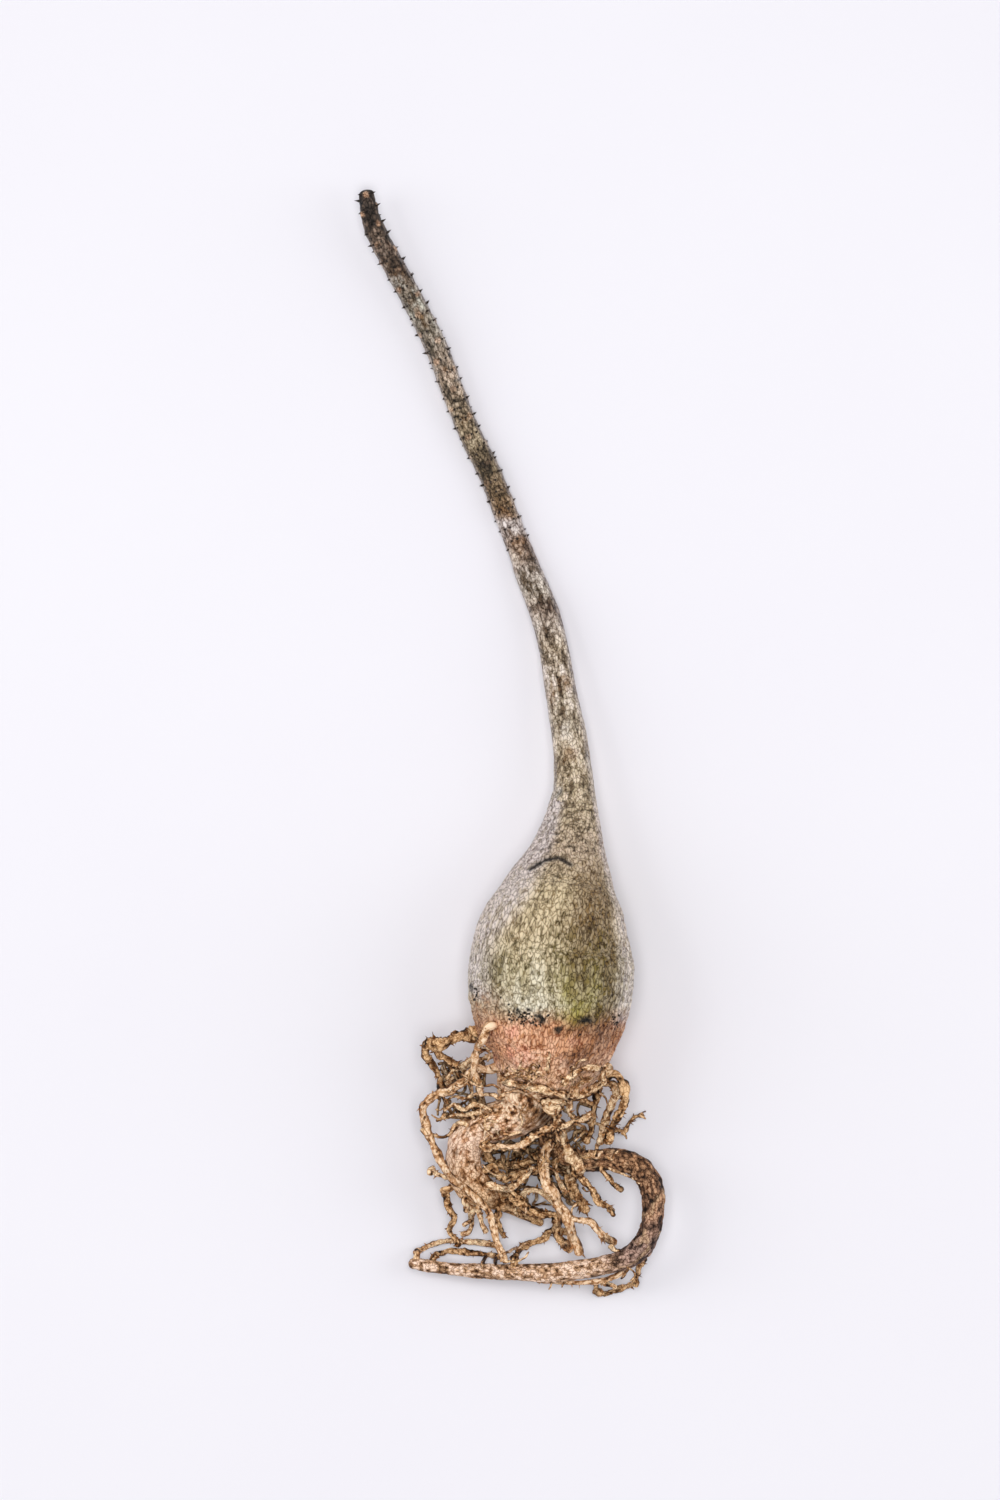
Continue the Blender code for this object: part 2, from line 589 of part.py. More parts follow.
def settle(strands, owners, parents, ties, trees):
    """Lifts and lowers roots where they cross, until each pair has its gap, and moves them clear of the
    caudex and the hook. A start stays on its parent, and a branch's start follows the root it grows from."""
    rows = np.vstack(strands)
    starts = np.cumsum([0] + [len(each) for each in strands])
    owner = np.repeat(owners, np.diff(starts))
    base = rows[:, :3]
    radius = rows[:, 3]
    moves = np.zeros_like(base)
    held = np.zeros(len(rows), bool)
    for first, last in zip(starts[:-1], starts[1:]):
        in_join = 1 + int(STRAIGHT_START * radius[first] / SAMPLE_STEP)
        held[first : first + in_join] = True
    lying = base[:, 2] < radius * LYING_LIMIT
    need = radius[:, None] + radius[None] + CROSSING_GAP
    span = base[:, None, :2] - base[None, :, :2]
    near = (owner[:, None] != owner[None]) & ((span**2).sum(axis=2) < (need + NEAR_MARGIN) ** 2)
    one, two = np.nonzero(np.triu(near))
    need = need[one, two]
    for step in range(SETTLE_STEPS):
        now = base + moves
        apart = now[one] - now[two]
        wanted = np.sqrt(np.maximum(need**2 - (apart[:, :2] ** 2).sum(axis=1), 0))
        short = np.maximum(wanted - np.abs(apart[:, 2]), 0) * np.where(apart[:, 2] < 0, -1, 1)
        up = np.zeros(len(rows))
        down = np.zeros(len(rows))
        np.maximum.at(up, one, short)
        np.maximum.at(up, two, -short)
        np.maximum.at(down, one, -short)
        np.maximum.at(down, two, short)
        lift = 0.5 * (up - down)
        lift[held | lying] = 0
        moves[:, 2] += lift
        for index in range(len(strands)):
            first, last = starts[index], starts[index + 1]
            for row in range(first + 1, last):
                for name, tree in trees.items():
                    out_of_join = (row - first) * SAMPLE_STEP > JOIN_REACH * radius[row]
                    if parents[index] == name and not out_of_join:
                        continue
                    place = base[row] + moves[row]
                    moves[row] += moved_clear(tree, place, radius[row], MOST_PUSH) - place
            if step < SETTLE_STEPS - FIRM_STEPS:
                moves[first:last] = smoothed(moves[first:last])
            moves[first:last][held[first:last]] = 0
        for child, parent, row in ties:
            moves[starts[child]] = moves[starts[parent] + row]
        under = radius - (base[:, 2] + moves[:, 2])
        moves[:, 2] += np.maximum(under, 0)
    settled = np.column_stack([base + moves, radius])
    return [settled[starts[k] : starts[k + 1]] for k in range(len(strands))]


def thinned(rows, step):
    """Every step-th row, always with the first and the last."""
    keep = sorted(set(range(0, len(rows) - step // 2, step)) | {len(rows) - 1})
    return rows[keep]


def material(name, tone):
    """A material of this piece's own, in one of the plant's tones."""
    colour, roughness = TONES[tone]
    made = bpy.data.materials.new(name)
    made.use_nodes = True
    shader = made.node_tree.nodes["Principled BSDF"]
    shader.inputs["Base Color"].default_value = (*colour, 1)
    shader.inputs["Roughness"].default_value = roughness
    shader.inputs["Metallic"].default_value = 0
    made.diffuse_color = (*colour, 1)
    return made


def solid(name, shape, tone):
    """An object of the shape, whose vertices are in millimetres in the plan."""
    vertices, faces = shape
    mesh = bpy.data.meshes.new(name)
    mesh.from_pydata([tuple(c * MM for c in v) for v in vertices], [], faces)
    mesh.shade_smooth()
    mesh.materials.append(material(name, tone))
    made = bpy.data.objects.new(name, mesh)
    bpy.context.scene.collection.objects.link(made)
    return made


def join_branch(root, branch):
    """Makes the branch one body with the root that it grows from."""
    branch.hide_render = True
    branch.display_type = "WIRE"
    union = root.modifiers.new("branch", "BOOLEAN")
    union.operation = "UNION"
    union.solver = "EXACT"
    union.object = branch


def centre_on_origin():
    """Moves every mesh so that the origin is on the surface, under the middle of the bounding box."""
    corners = []
    for each in bpy.data.objects:
        if not each.hide_render:
            corners += [v.co for v in each.data.vertices]
    corners = np.array(corners)
    low = corners.min(axis=0)
    high = corners.max(axis=0)
    shift = Vector((-(low[0] + high[0]) / 2, -(low[1] + high[1]) / 2, -low[2]))
    for each in bpy.data.objects:
        for vertex in each.data.vertices:
            vertex.co += shift


def build():
    """Clears the scene and makes the caudex, the hooked root, then the side roots laid clear of them."""
    for each in list(bpy.data.objects):
        bpy.data.objects.remove(each, do_unlink=True)

    body = tube(through(body_stations(), BODY_STEP), BODY_SIDES)
    solid("caudex_and_stem", body, "caudex")
    trees = {"caudex": BVHTree.FromPolygons(*body)}

    hook_route = [(x, y, CAUDEX_RADIUS + height, share * HOOK_RADIUS) for x, y, height, share in HOOK]
    start, out = start_on(trees["caudex"], hook_route[0][:3], HOOK_RADIUS)
    thickness = hook_route[0][3]
    hook_route[:1] = [(*start, thickness), (*out, thickness)]
    hook = tube(through(hook_route, HOOK_STEP), HOOK_SIDES, out - start)
    solid("hooked_root", hook, "hook")
    trees["hook"] = BVHTree.FromPolygons(*hook)

    names, owners, parents, tones, strands, headings = [], [], [], [], [], []
    for number, (name, parent, tone, radius, tip_share, route) in enumerate(ROOTS):
        placed = with_heights(route, radius)
        start, out = start_on(trees[parent], placed[0], radius)
        for tree in trees.values():
            placed[1:] = [moved_clear(tree, place, radius, CAUDEX_RADIUS) for place in placed[1:]]
        names.append(name)
        owners.append(number)
        parents.append(parent)
        tones.append(tone)
        headings.append(out - start)
        strands.append(strand([start, out, *placed[1:]], radius, tip_share, number))
    ties = []
    for number, (root, radius, tip_share, route) in enumerate(BRANCHES):
        parent = names.index(root)
        placed = with_heights(route, radius)
        nearest = int(np.linalg.norm(strands[parent][:, :3] - placed[0], axis=1).argmin())
        placed[0] = tuple(strands[parent][nearest, :3])
        ties.append((len(strands), parent, nearest))
        names.append(f"{root}_branch_{number + 1}")
        owners.append(owners[parent])
        parents.append(None)
        tones.append(tones[parent])
        headings.append(None)
        strands.append(strand(placed, radius, tip_share, number))
    settled = settle(strands, owners, parents, ties, trees)
    made = {}
    for name, tone, rows, heading in zip(names, tones, settled, headings):
        made[name] = solid(name, tube(thinned(rows, RING_EVERY), ROOT_SIDES, heading), tone)
    for child, parent, _ in ties:
        join_branch(made[names[parent]], made[names[child]])
    centre_on_origin()


build()
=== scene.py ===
"""The looks of a bare-root pachypodium, lying on its side on a pale table under soft light.

The plan is in millimetres, with +Y from the roots to the tip of the stem and its zero near the middle of the
plant. Every shape is a grid round a curve, with one row for each place along it and one column for each
direction round it, and its relief and colours are worked out on that grid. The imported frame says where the
plan goes.
"""

import itertools
import math

import bpy
import numpy as np
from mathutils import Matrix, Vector
from mathutils.bvhtree import BVHTree


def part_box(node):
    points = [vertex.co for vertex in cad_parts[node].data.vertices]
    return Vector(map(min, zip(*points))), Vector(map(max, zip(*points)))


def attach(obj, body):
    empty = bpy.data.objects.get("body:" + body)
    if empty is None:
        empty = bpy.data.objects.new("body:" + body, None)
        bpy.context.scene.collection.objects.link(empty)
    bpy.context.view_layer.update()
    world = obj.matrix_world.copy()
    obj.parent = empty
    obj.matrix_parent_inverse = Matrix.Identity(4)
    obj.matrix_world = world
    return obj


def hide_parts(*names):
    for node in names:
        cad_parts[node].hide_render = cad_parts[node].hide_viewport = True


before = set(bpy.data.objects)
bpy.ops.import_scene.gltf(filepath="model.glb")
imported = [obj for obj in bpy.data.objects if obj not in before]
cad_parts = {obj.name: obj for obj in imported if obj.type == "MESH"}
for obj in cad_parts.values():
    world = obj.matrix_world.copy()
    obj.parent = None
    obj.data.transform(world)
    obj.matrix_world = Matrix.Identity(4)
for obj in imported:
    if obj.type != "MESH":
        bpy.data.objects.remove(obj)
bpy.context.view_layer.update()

MM = 0.001

# Driving dimensions, in millimetres, as the frame was made with.
CAUDEX_RADIUS = 24.9  # half the greatest width of the swollen base
CAUDEX_LENGTH = 80.0  # from the crown to the neck
CROWN_Y = -99.0  # where the caudex ends and the taproot begins
STEM_RADIUS = 3.8
STEM_LENGTH = 185.5  # from the neck to the tip
TIP_RISE = 10.0  # how far the tip's underside is above the surface
TAPROOT_RADIUS = 5.4
HOOK_RADIUS = 3.5
COARSE_ROOT = 1.7  # radii of the three sizes of side root, where they leave the plant
MIDDLE_ROOT = 1.25
FINE_ROOT = 0.8
JOIN_GAP = 0.3  # between a root's end face and what it grows from
CROSSING_GAP = 0.6  # between two roots that pass each other
SURFACE_GAP = 0.5  # between a root and the caudex or hook that it passes

# How finely the solids are faceted.
BODY_SIDES = 20
HOOK_SIDES = 10
BODY_STEP = 3.6  # spacing of the rings along the caudex and stem, and along the hooked root
HOOK_STEP = 3.2
SPLINE_STEPS = 16  # points that a curve is worked out at, between two of its route's points
END_RING = 0.55  # a tube's rounded end, in radii: how far out its last ring is
END_RING_RADIUS = 0.68  # how wide that ring is
END_POLE = 0.85  # and how far out the end itself is
STEEP = 0.9  # a direction whose Z is over this is taken as upright

# How the roots are laid clear of each other, in millimetres where it isn't a count or a share of the radius.
SAMPLE_STEP = 1.2  # spacing of the points that roots are settled by
STRAIGHT_START = 1.3  # a root first runs straight out of its parent for this many radii
JOIN_REACH = 1.6  # and for this many radii it may be near its parent
RIM_POINTS = 8  # places round a root's end face that keep the gap
RIM_TRIES = 4
LYING_HEIGHT = 0.95  # a lying root's axis is this share of its radius above the surface
LYING_LIMIT = 1.02  # and a root whose axis is lower than this isn't lifted or lowered
NEAR_MARGIN = 3.0  # pairs of points that start this much farther apart than they need are left alone
SETTLE_STEPS = 100  # the last FIRM_STEPS of them without smoothing
FIRM_STEPS = 40
MOST_PUSH = 1.0  # how far one step moves a root out of what it passes
LUMP_DEPTH = 0.08  # roots swell and narrow by this share of their radius
LUMP_LENGTH = 9.0

REST = None  # as a height: the root lies on the surface there

# The caudex, crown to neck: share of its length, X, share of the caudex's fullness, height of its underside.
CAUDEX = [
    (0.0, 6.6, 0.43, 9.8),
    (0.05, 8.5, 0.626, 6.4),
    (0.1125, 9.9, 0.768, 4.0),
    (0.175, 10.7, 0.863, 2.5),
    (0.25, 11.4, 0.943, 1.0),
    (0.325, 11.8, 0.99, 0.1),
    (0.4, 12.0, 1.0, 0.0),
    (0.475, 12.2, 0.962, 0.7),
    (0.55, 12.9, 0.9, 1.9),
    (0.625, 14.0, 0.791, 3.4),
    (0.7, 15.0, 0.645, 5.1),
    (0.775, 16.2, 0.5, 7.1),
    (0.85, 17.2, 0.36, 8.8),
    (0.925, 18.0, 0.261, 9.6),
]

# The stem, neck to tip: share of its length, X, radius as a share of STEM_RADIUS, height of its underside,
# which counts TIP_RISE as 1 once the stem has touched the surface.
STEM_DOWN = [
    (0.0, 18.5, 2.0, 9.9),
    (0.0323, 18.9, 1.66, 9.8),
    (0.0647, 18.6, 1.5, 9.3),
    (0.097, 18.0, 1.42, 8.5),
    (0.1294, 17.2, 1.37, 7.6),
    (0.194, 15.0, 1.24, 5.8),
    (0.2588, 13.0, 1.18, 3.7),
    (0.3235, 9.9, 1.18, 1.6),
    (0.3881, 5.1, 1.08, 0.5),
    (0.42, 3.0, 0.98, 0.1),
]
STEM_UP = [
    (0.4852, -1.8, 0.95, 0.0),
    (0.5499, -6.6, 0.93, 0.0),
    (0.6146, -12.6, 0.9, 0.06),
    (0.6792, -17.4, 0.9, 0.15),
    (0.7439, -21.9, 0.9, 0.28),
    (0.8086, -27.7, 0.88, 0.42),
    (0.8733, -34.2, 0.86, 0.58),
    (0.938, -40.6, 0.82, 0.78),
    (0.97, -42.6, 0.71, 0.89),
    (1.0, -43.5, 0.6, 1.0),
]

# The knob and the twisted taproot: X, Y, height from the caudex's axis, radius as a share of TAPROOT_RADIUS.
TAPROOT = [
    (5.3, -102.6, -2.9, 1.72),
    (4.6, -106.6, -4.2, 1.5),
    (1.2, -110.2, -5.5, 1.24),
    (-4.5, -112.2, -6.4, 1.1),
    (-9.3, -114.2, -7.2, 1.04),
    (-13.0, -118.6, -8.2, 1.0),
    (-14.5, -124.0, -9.2, 0.98),
    (-12.8, -129.5, -10.2, 1.0),
    (-8.2, -134.0, -11.6, 0.87),
    (-2.2, -137.2, -14.4, 0.54),
    (4.0, -141.0, -18.6, 0.31),
    (9.0, -143.5, -22.2, 0.22),
]

# The hooked root: X, Y, height from the caudex's axis, radius as a share of HOOK_RADIUS.
HOOK = [
    (8.0, -112.0, -11.0, 0.85),
    (10.5, -116.8, -12.4, 0.85),
    (15.0, -121.8, -12.4, 0.86),
    (22.0, -124.5, -11.0, 0.88),
    (28.0, -124.0, -9.8, 0.95),
    (34.0, -124.3, -8.4, 1.0),
    (38.7, -126.4, -7.0, 1.02),
    (41.6, -130.4, -6.0, 1.02),
    (42.6, -136.0, -5.0, 0.97),
    (42.2, -142.0, -5.0, 0.93),
    (40.5, -148.0, -5.8, 0.94),
    (37.0, -152.2, -7.0, 0.94),
    (31.0, -154.8, -8.0, 0.86),
    (24.0, -156.5, -9.0, 0.83),
    (15.0, -157.8, -10.2, 0.83),
    (5.0, -158.0, -11.6, 0.77),
    (-5.0, -157.8, -13.0, 0.69),
    (-15.0, -157.2, -14.4, 0.57),
    (-24.0, -156.4, -16.0, 0.54),
    (-29.5, -155.6, -17.0, 0.51),
]

# Side roots: name, what it grows from, tone, radius, radius at its tip as a share, route. A route is X, Y
# and height from the caudex's axis, and its first point only says where on its parent the root starts.
ROOTS = [
    (
        "knotted_root", "caudex", "dark", COARSE_ROOT * 1.2, 0.75,
        [(-10, -85, 1), (-16, -86.5, 2), (-20, -88.5, 3), (-24.5, -88.3, 3)],
    ),
    (
        "upper_left_strand", "caudex", "tan", FINE_ROOT, 0.8,
        [(-10.5, -92, -2), (-15, -95.5, -4), (-18, -97.5, -5), (-19.3, -99.5, -5.5)],
    ),
    (
        "lower_left_strand", "caudex", "tan", FINE_ROOT, 0.8,
        [(-9, -94, -6), (-12.5, -95.5, -7), (-16, -98, -8), (-19, -101, -9)],
    ),
    (
        "long_pale_root", "caudex", "pale", MIDDLE_ROOT * 1.1, 0.75,
        [
            (-5, -96, 1), (-11, -97, 3), (-14, -99.5, 3), (-18, -102.5, 2), (-22, -104, 1),
            (-25, -106, -1), (-26.3, -107.8, -2), (-26, -110, -3), (-25.5, -113, -4), (-25, -115.5, -4),
            (-24, -118, -4), (-22.5, -121.5, -3), (-20.5, -125.5, -2), (-18, -129, -1.5),
            (-15, -131.5, -2), (-12, -134, -3), (-9.5, -136.5, -5), (-7, -139, -6.5), (-6, -142, -7),
            (-5, -145, -7.5), (-4, -148.5, -8), (-3, -151.5, -8), (-2.2, -154, -8),
        ],
    ),
    (
        "front_pale_root", "caudex", "pale", MIDDLE_ROOT * 1.15, 0.55,
        [
            (-5.5, -83, 15), (-8, -86, 14.5), (-9.8, -89, 12.5), (-10.8, -92, 10.5), (-11.2, -95, 8.5),
            (-10.5, -98, 6.5), (-9.7, -101, 4.5), (-9, -104, 2.5),
        ],
    ),
    (
        "top_brown_rootlet", "caudex", "tan", FINE_ROOT * 0.8, 0.7,
        [
            (-2, -104, 2), (-7, -103.5, 0), (-11, -104, -1), (-14, -105.5, -1.5), (-17, -105, -2),
            (-19.5, -106.5, -3),
        ],
    ),
    (
        "middle_brown_rootlet", "caudex", "tan", FINE_ROOT * 0.9, 0.7,
        [(-6, -109, 0), (-11, -107, -1), (-14, -108.5, -1.5), (-17, -107.5, -2), (-20, -108.8, -3)],
    ),
    (
        "lower_brown_rootlet", "caudex", "tan", FINE_ROOT * 0.9, 0.7,
        [(-8, -111, -3), (-13, -111.2, -4.5), (-16, -110.3, -6), (-19, -111.2, -7), (-22, -112.2, -8)],
    ),
    (
        "looped_rootlet", "caudex", "tan", FINE_ROOT * 0.9, 0.8,
        [(-13, -113.5, -4), (-16, -113.3, -5), (-18.5, -116, -6), (-21, -117, -6.5), (-23, -116.3, -7)],
    ),
    (
        "curled_rootlet", "caudex", "tan", FINE_ROOT * 0.9, 1.2,
        [(-17.5, -128, -8), (-21.5, -128.6, -8), (-22.8, -127.8, -8), (-24, -126.8, -8)],
    ),
    (
        "lower_left_root", "caudex", "dark", FINE_ROOT * 1.3, 0.8,
        [
            (-16.5, -131.5, -10), (-19.7, -132.8, -11), (-19.8, -136, -12), (-18.5, -139.5, -13),
            (-17, -142, -14), (-18, -144, -14.5), (-18, -146.5, -15), (-16.6, -148.2, -15.5),
            (-16, -150, -16),
        ],
    ),
    (
        "u_shaped_rootlet", "caudex", "tan", FINE_ROOT * 1.1, 0.9,
        [
            (-10.5, -134.5, -12), (-11, -138.5, -13), (-12, -141, -14), (-11.7, -143.5, -15),
            (-12.5, -145.8, -15.5), (-14.3, -146.6, -15.5),
        ],
    ),
    (
        "taproot_stub", "caudex", "tan", FINE_ROOT * 1.2, 0.8,
        [(-9.3, -136, -9), (-10, -139, -8.5), (-9, -142, -9), (-7.6, -145.5, -10)],
    ),
    (
        "taproot_bud", "caudex", "tan", FINE_ROOT, 1.1,
        [(-12.5, -133.5, -9), (-13, -137, -9), (-13.2, -139, -9.5)],
    ),
    (
        "taproot_branch", "caudex", "dark", FINE_ROOT, 0.8,
        [(-4, -137, -13), (-5, -141, -13), (-4.5, -143, -13.5), (-3, -145.5, -14), (-2, -147.5, -14.5)],
    ),
    (
        "crown_cross_root", "caudex", "tan", MIDDLE_ROOT, 0.8,
        [
            (-2, -98.6, 7), (1, -99.8, 10.5), (5, -100.2, 12), (10, -100.2, 11.5), (14, -100, 9),
            (16, -101.7, 7), (15.3, -103.6, 5.5), (12.5, -104.3, 5.5), (9.5, -103.6, 6.5),
        ],
    ),
    (
        "crown_arch_root", "caudex", "tan", FINE_ROOT * 1.1, 0.9,
        [(22.5, -93.5, 9), (20, -94.6, 13.5), (17.5, -95.6, 14), (16, -97.4, 13), (15, -98.6, 12)],
    ),
    (
        "ring_root", "caudex", "tan", MIDDLE_ROOT * 0.95, 0.8,
        [
            (25.2, -93.5, 4), (25.8, -96, 6), (27.3, -98, 6), (27.6, -99.9, 5), (25.5, -101.5, 4.5),
            (22, -102.4, 4.5), (19.5, -103.4, 4), (17.7, -102.2, 4.5), (17.6, -99.9, 7),
            (18.9, -97.8, 9.5), (20.8, -96.8, 10),
        ],
    ),
    (
        "outer_right_root", "caudex", "dark", MIDDLE_ROOT * 1.15, 0.8,
        [
            (23.5, -96, -1), (28, -97.5, 0), (31, -97.9, 0), (33, -99.7, -0.5), (34, -103, -1),
            (34, -106, -2), (33, -109, -3), (31.5, -112, -4), (29.8, -115.3, -6), (28.7, -118.3, -7),
        ],
    ),
    (
        "middle_right_root", "caudex", "tan", MIDDLE_ROOT, 0.85,
        [
            (21, -98, -3), (25, -100, -3.5), (28, -100.9, -3.5), (30, -100.9, -4), (31.7, -102.2, -5),
            (31.9, -104.2, -5.5), (30.5, -107, -6), (29, -110, -6.5), (28, -113, -7), (27.4, -116, -7.5),
            (27, -118.6, -8),
        ],
    ),
    (
        "inner_right_root", "caudex", "dark", MIDDLE_ROOT, 0.8,
        [
            (19, -99.5, -6), (23, -100.5, -7.5), (26.3, -101.8, -8.5), (26.1, -104.5, -9.5),
            (25.5, -107, -10), (25, -110, -10.5), (24.5, -113, -11), (24, -116, -11.5),
            (22.7, -118.8, -12),
        ],
    ),
    (
        "dark_stub_root", "caudex", "dark", FINE_ROOT * 1.1, 0.9,
        [(15, -102, -1), (19.5, -104.8, -1), (22, -105.8, -1), (24.3, -107, -1.5)],
    ),
    (
        "zigzag_root", "caudex", "tan", FINE_ROOT * 1.1, 0.8,
        [
            (13, -102.5, 1), (16.5, -104.6, 1), (17.5, -107, 1), (17.1, -109.4, 1), (18.9, -111.3, 0.5),
            (21.8, -110.8, 0), (24, -109.4, -0.5),
        ],
    ),
    (
        "central_root", "caudex", "tan", COARSE_ROOT, 0.85,
        [
            (9, -104.5, 1), (12.2, -106, 2), (13, -109, 1.5), (14, -113, 0), (15, -116, -1),
            (16.5, -119.5, -2), (17.2, -122, -3), (19, -124.5, -4), (21.5, -126.6, -5),
        ],
    ),
    (
        "crossing_root", "caudex", "tan", MIDDLE_ROOT * 0.95, 0.75,
        [
            (-8, -119.5, -3), (-4, -119.7, -2), (1, -120, -1), (4, -118.5, 1), (7, -116.5, 2),
            (11, -114.6, 3.5), (16, -113.5, 4), (20, -112, 3), (24, -110, 2),
        ],
    ),
    (
        "forked_twig_root", "hook", "dark", FINE_ROOT * 0.9, 0.8,
        [
            (26, -121.5, -11), (27.5, -117.8, -16), (29.5, -115.3, -21), (32, -116, REST),
            (34.5, -116.2, REST), (35.2, -114.4, REST), (36.5, -112.5, REST), (38, -111.3, REST),
            (40, -111, REST),
        ],
    ),
    (
        "bud_tipped_root", "hook", "dark", MIDDLE_ROOT * 1.05, 0.7,
        [
            (17.5, -122, -9), (19.3, -126, -8), (20.7, -129, -8.5), (23, -131.5, -9), (25, -134, -9.5),
            (26.3, -136.6, -10), (28.2, -137.8, -10), (30.2, -139.5, -10),
        ],
    ),
    (
        "dark_thick_root", "hook", "dark", COARSE_ROOT * 1.05, 0.85,
        [
            (18.5, -125.5, -14), (17.8, -129, -15), (17.8, -131.5, -15.5), (18.9, -133.8, -16),
            (20.7, -136.2, -16.5), (22.5, -139.5, -17),
        ],
    ),
    (
        "front_hanging_root", "hook", "pale", COARSE_ROOT, 0.85,
        [
            (11.5, -119.5, -9), (9.8, -124, -7), (9.5, -128, -6), (11, -131, -6), (13, -134.5, -6.5),
            (14.5, -138, -7), (16.5, -141.5, -7), (18, -145, -7.5), (19.2, -148.5, -8),
            (20.4, -152, -8.5),
        ],
    ),
    (
        "bridging_root", "caudex", "tan", MIDDLE_ROOT * 0.9, 0.8,
        [
            (2.5, -137.5, -15), (4, -134.5, -13.5), (7, -133.2, -13), (9.5, -134, -13), (12, -136, -13.5),
            (13.5, -137.4, -13.5),
        ],
    ),
    (
        "bead_tipped_root", "hook", "dark", FINE_ROOT * 0.8, 1.3,
        [(27.5, -126.5, -7.5), (29.5, -129, -7.5), (30.8, -131, -8), (32.3, -132.2, -8.5)],
    ),
    (
        "club_root", "caudex", "dark", COARSE_ROOT, 0.7,
        [
            (-2, -134.5, -11), (2.6, -137, -10), (6, -139, -10.3), (8.7, -140.4, -11), (13, -141.2, -12),
            (14.2, -143.7, -13), (13.6, -146, -14), (15, -148.4, -15), (17, -150.2, -15.5),
        ],
    ),
    (
        "slender_root", "hook", "tan", FINE_ROOT * 1.1, 0.8,
        [(14, -124, -10), (13.3, -127.5, -10.5), (14.6, -131, -10.5), (16.6, -134, -11)],
    ),
    (
        "upper_return_strand", "hook", "tan", FINE_ROOT * 1.1, 0.9,
        [
            (-28.5, -154.5, -17), (-28.3, -152, -19.5), (-25.2, -150.6, -22), (-21, -149.8, -23.6),
            (-17, -149.2, REST), (-12, -149.5, REST), (-8, -150, REST), (-4, -151, REST),
        ],
    ),
    (
        "lower_return_strand", "hook", "dark", FINE_ROOT * 1.1, 0.9,
        [
            (-23.5, -154.5, -18), (-21.8, -153, -22), (-19, -152, REST), (-15, -152.3, REST),
            (-10, -152.8, REST), (-5, -153.5, REST), (-2, -153.7, REST),
        ],
    ),
    (
        "surface_strand", "hook", "dark", MIDDLE_ROOT * 0.9, 0.8,
        [
            (1, -156, -11), (1.5, -153.2, -15), (3, -151, -21), (5, -149.8, REST), (8, -149, REST),
            (10.3, -148.2, REST), (11.2, -146.4, REST), (12.7, -145.6, REST), (15, -145.8, REST),
            (17, -146.5, REST),
        ],
    ),
    (
        "lower_right_rootlet", "hook", "dark", FINE_ROOT, 0.9,
        [
            (38.7, -152, -8), (38.5, -157, -13.5), (38, -160.4, -18.5), (36.6, -162.2, -22.5),
            (34.3, -163.2, REST), (31, -164.2, REST), (28, -164.9, REST), (26, -164, REST),
            (25.8, -161.4, REST),
        ],
    ),
    (
        "under_hook_root", "hook", "pale", FINE_ROOT * 1.1, 0.7,
        [
            (34, -155.5, -9), (32.3, -158.6, -10.5), (30, -159.8, -11.5), (26, -160.9, -12.5),
            (20, -161.4, -13.5), (14, -161.1, -14), (8, -160.8, -14.5),
        ],
    ),
    # The next two roots lie deep in the hollow under the knob; their dark tone is partly the roots' own and
    # partly painted shade of the hollow.
    (
        "shaded_root", "caudex", "dark", COARSE_ROOT * 0.85, 0.8,
        [
            (-9.5, -121, -13), (-6, -124.3, -14), (-1.5, -126, -15), (3, -125.3, -15), (7, -123.8, -15),
            (11, -122.8, -15),
        ],
    ),
    (
        "inner_root", "caudex", "dark", MIDDLE_ROOT * 1.1, 0.8,
        [(-8.5, -128, -10), (-4, -128.8, -12), (0, -129, -12.5), (4, -127.9, -12.5), (8.5, -127.4, -12.5)],
    ),
    (
        "crumbling_root", "caudex", "tan", MIDDLE_ROOT * 0.9, 0.9,
        [
            (-6.3, -131.6, -6), (-2.2, -132.4, -6), (1.2, -131.6, -6.5), (4, -129.4, -6.5),
            (6.2, -126.8, -6.5),
        ],
    ),
]

# Branches grow out of a side root and are one piece with it: side root, radius, tip share, route.
BRANCHES = [
    (
        "knotted_root", MIDDLE_ROOT, 0.8,
        [(-24.2, -88.4, 3), (-22.3, -91, 0.5), (-19, -93.5, -1), (-16.5, -95.3, -2)],
    ),
    (
        "knotted_root", MIDDLE_ROOT, 0.75,
        [
            (-24.4, -88.4, 3), (-25.8, -91, 0), (-24.8, -94, -2), (-22.7, -97, -4), (-21.6, -99.5, -5.5),
            (-20.7, -102.5, -7),
        ],
    ),
    (
        "front_hanging_root", FINE_ROOT * 1.1, 1.4,
        [
            (16.6, -141.7, -7), (19, -142, -7), (22, -141.9, -7.5), (24.5, -143, -8), (26, -145, -8),
            (28, -147, -8.5), (29.5, -148, -8.5),
        ],
    ),
]

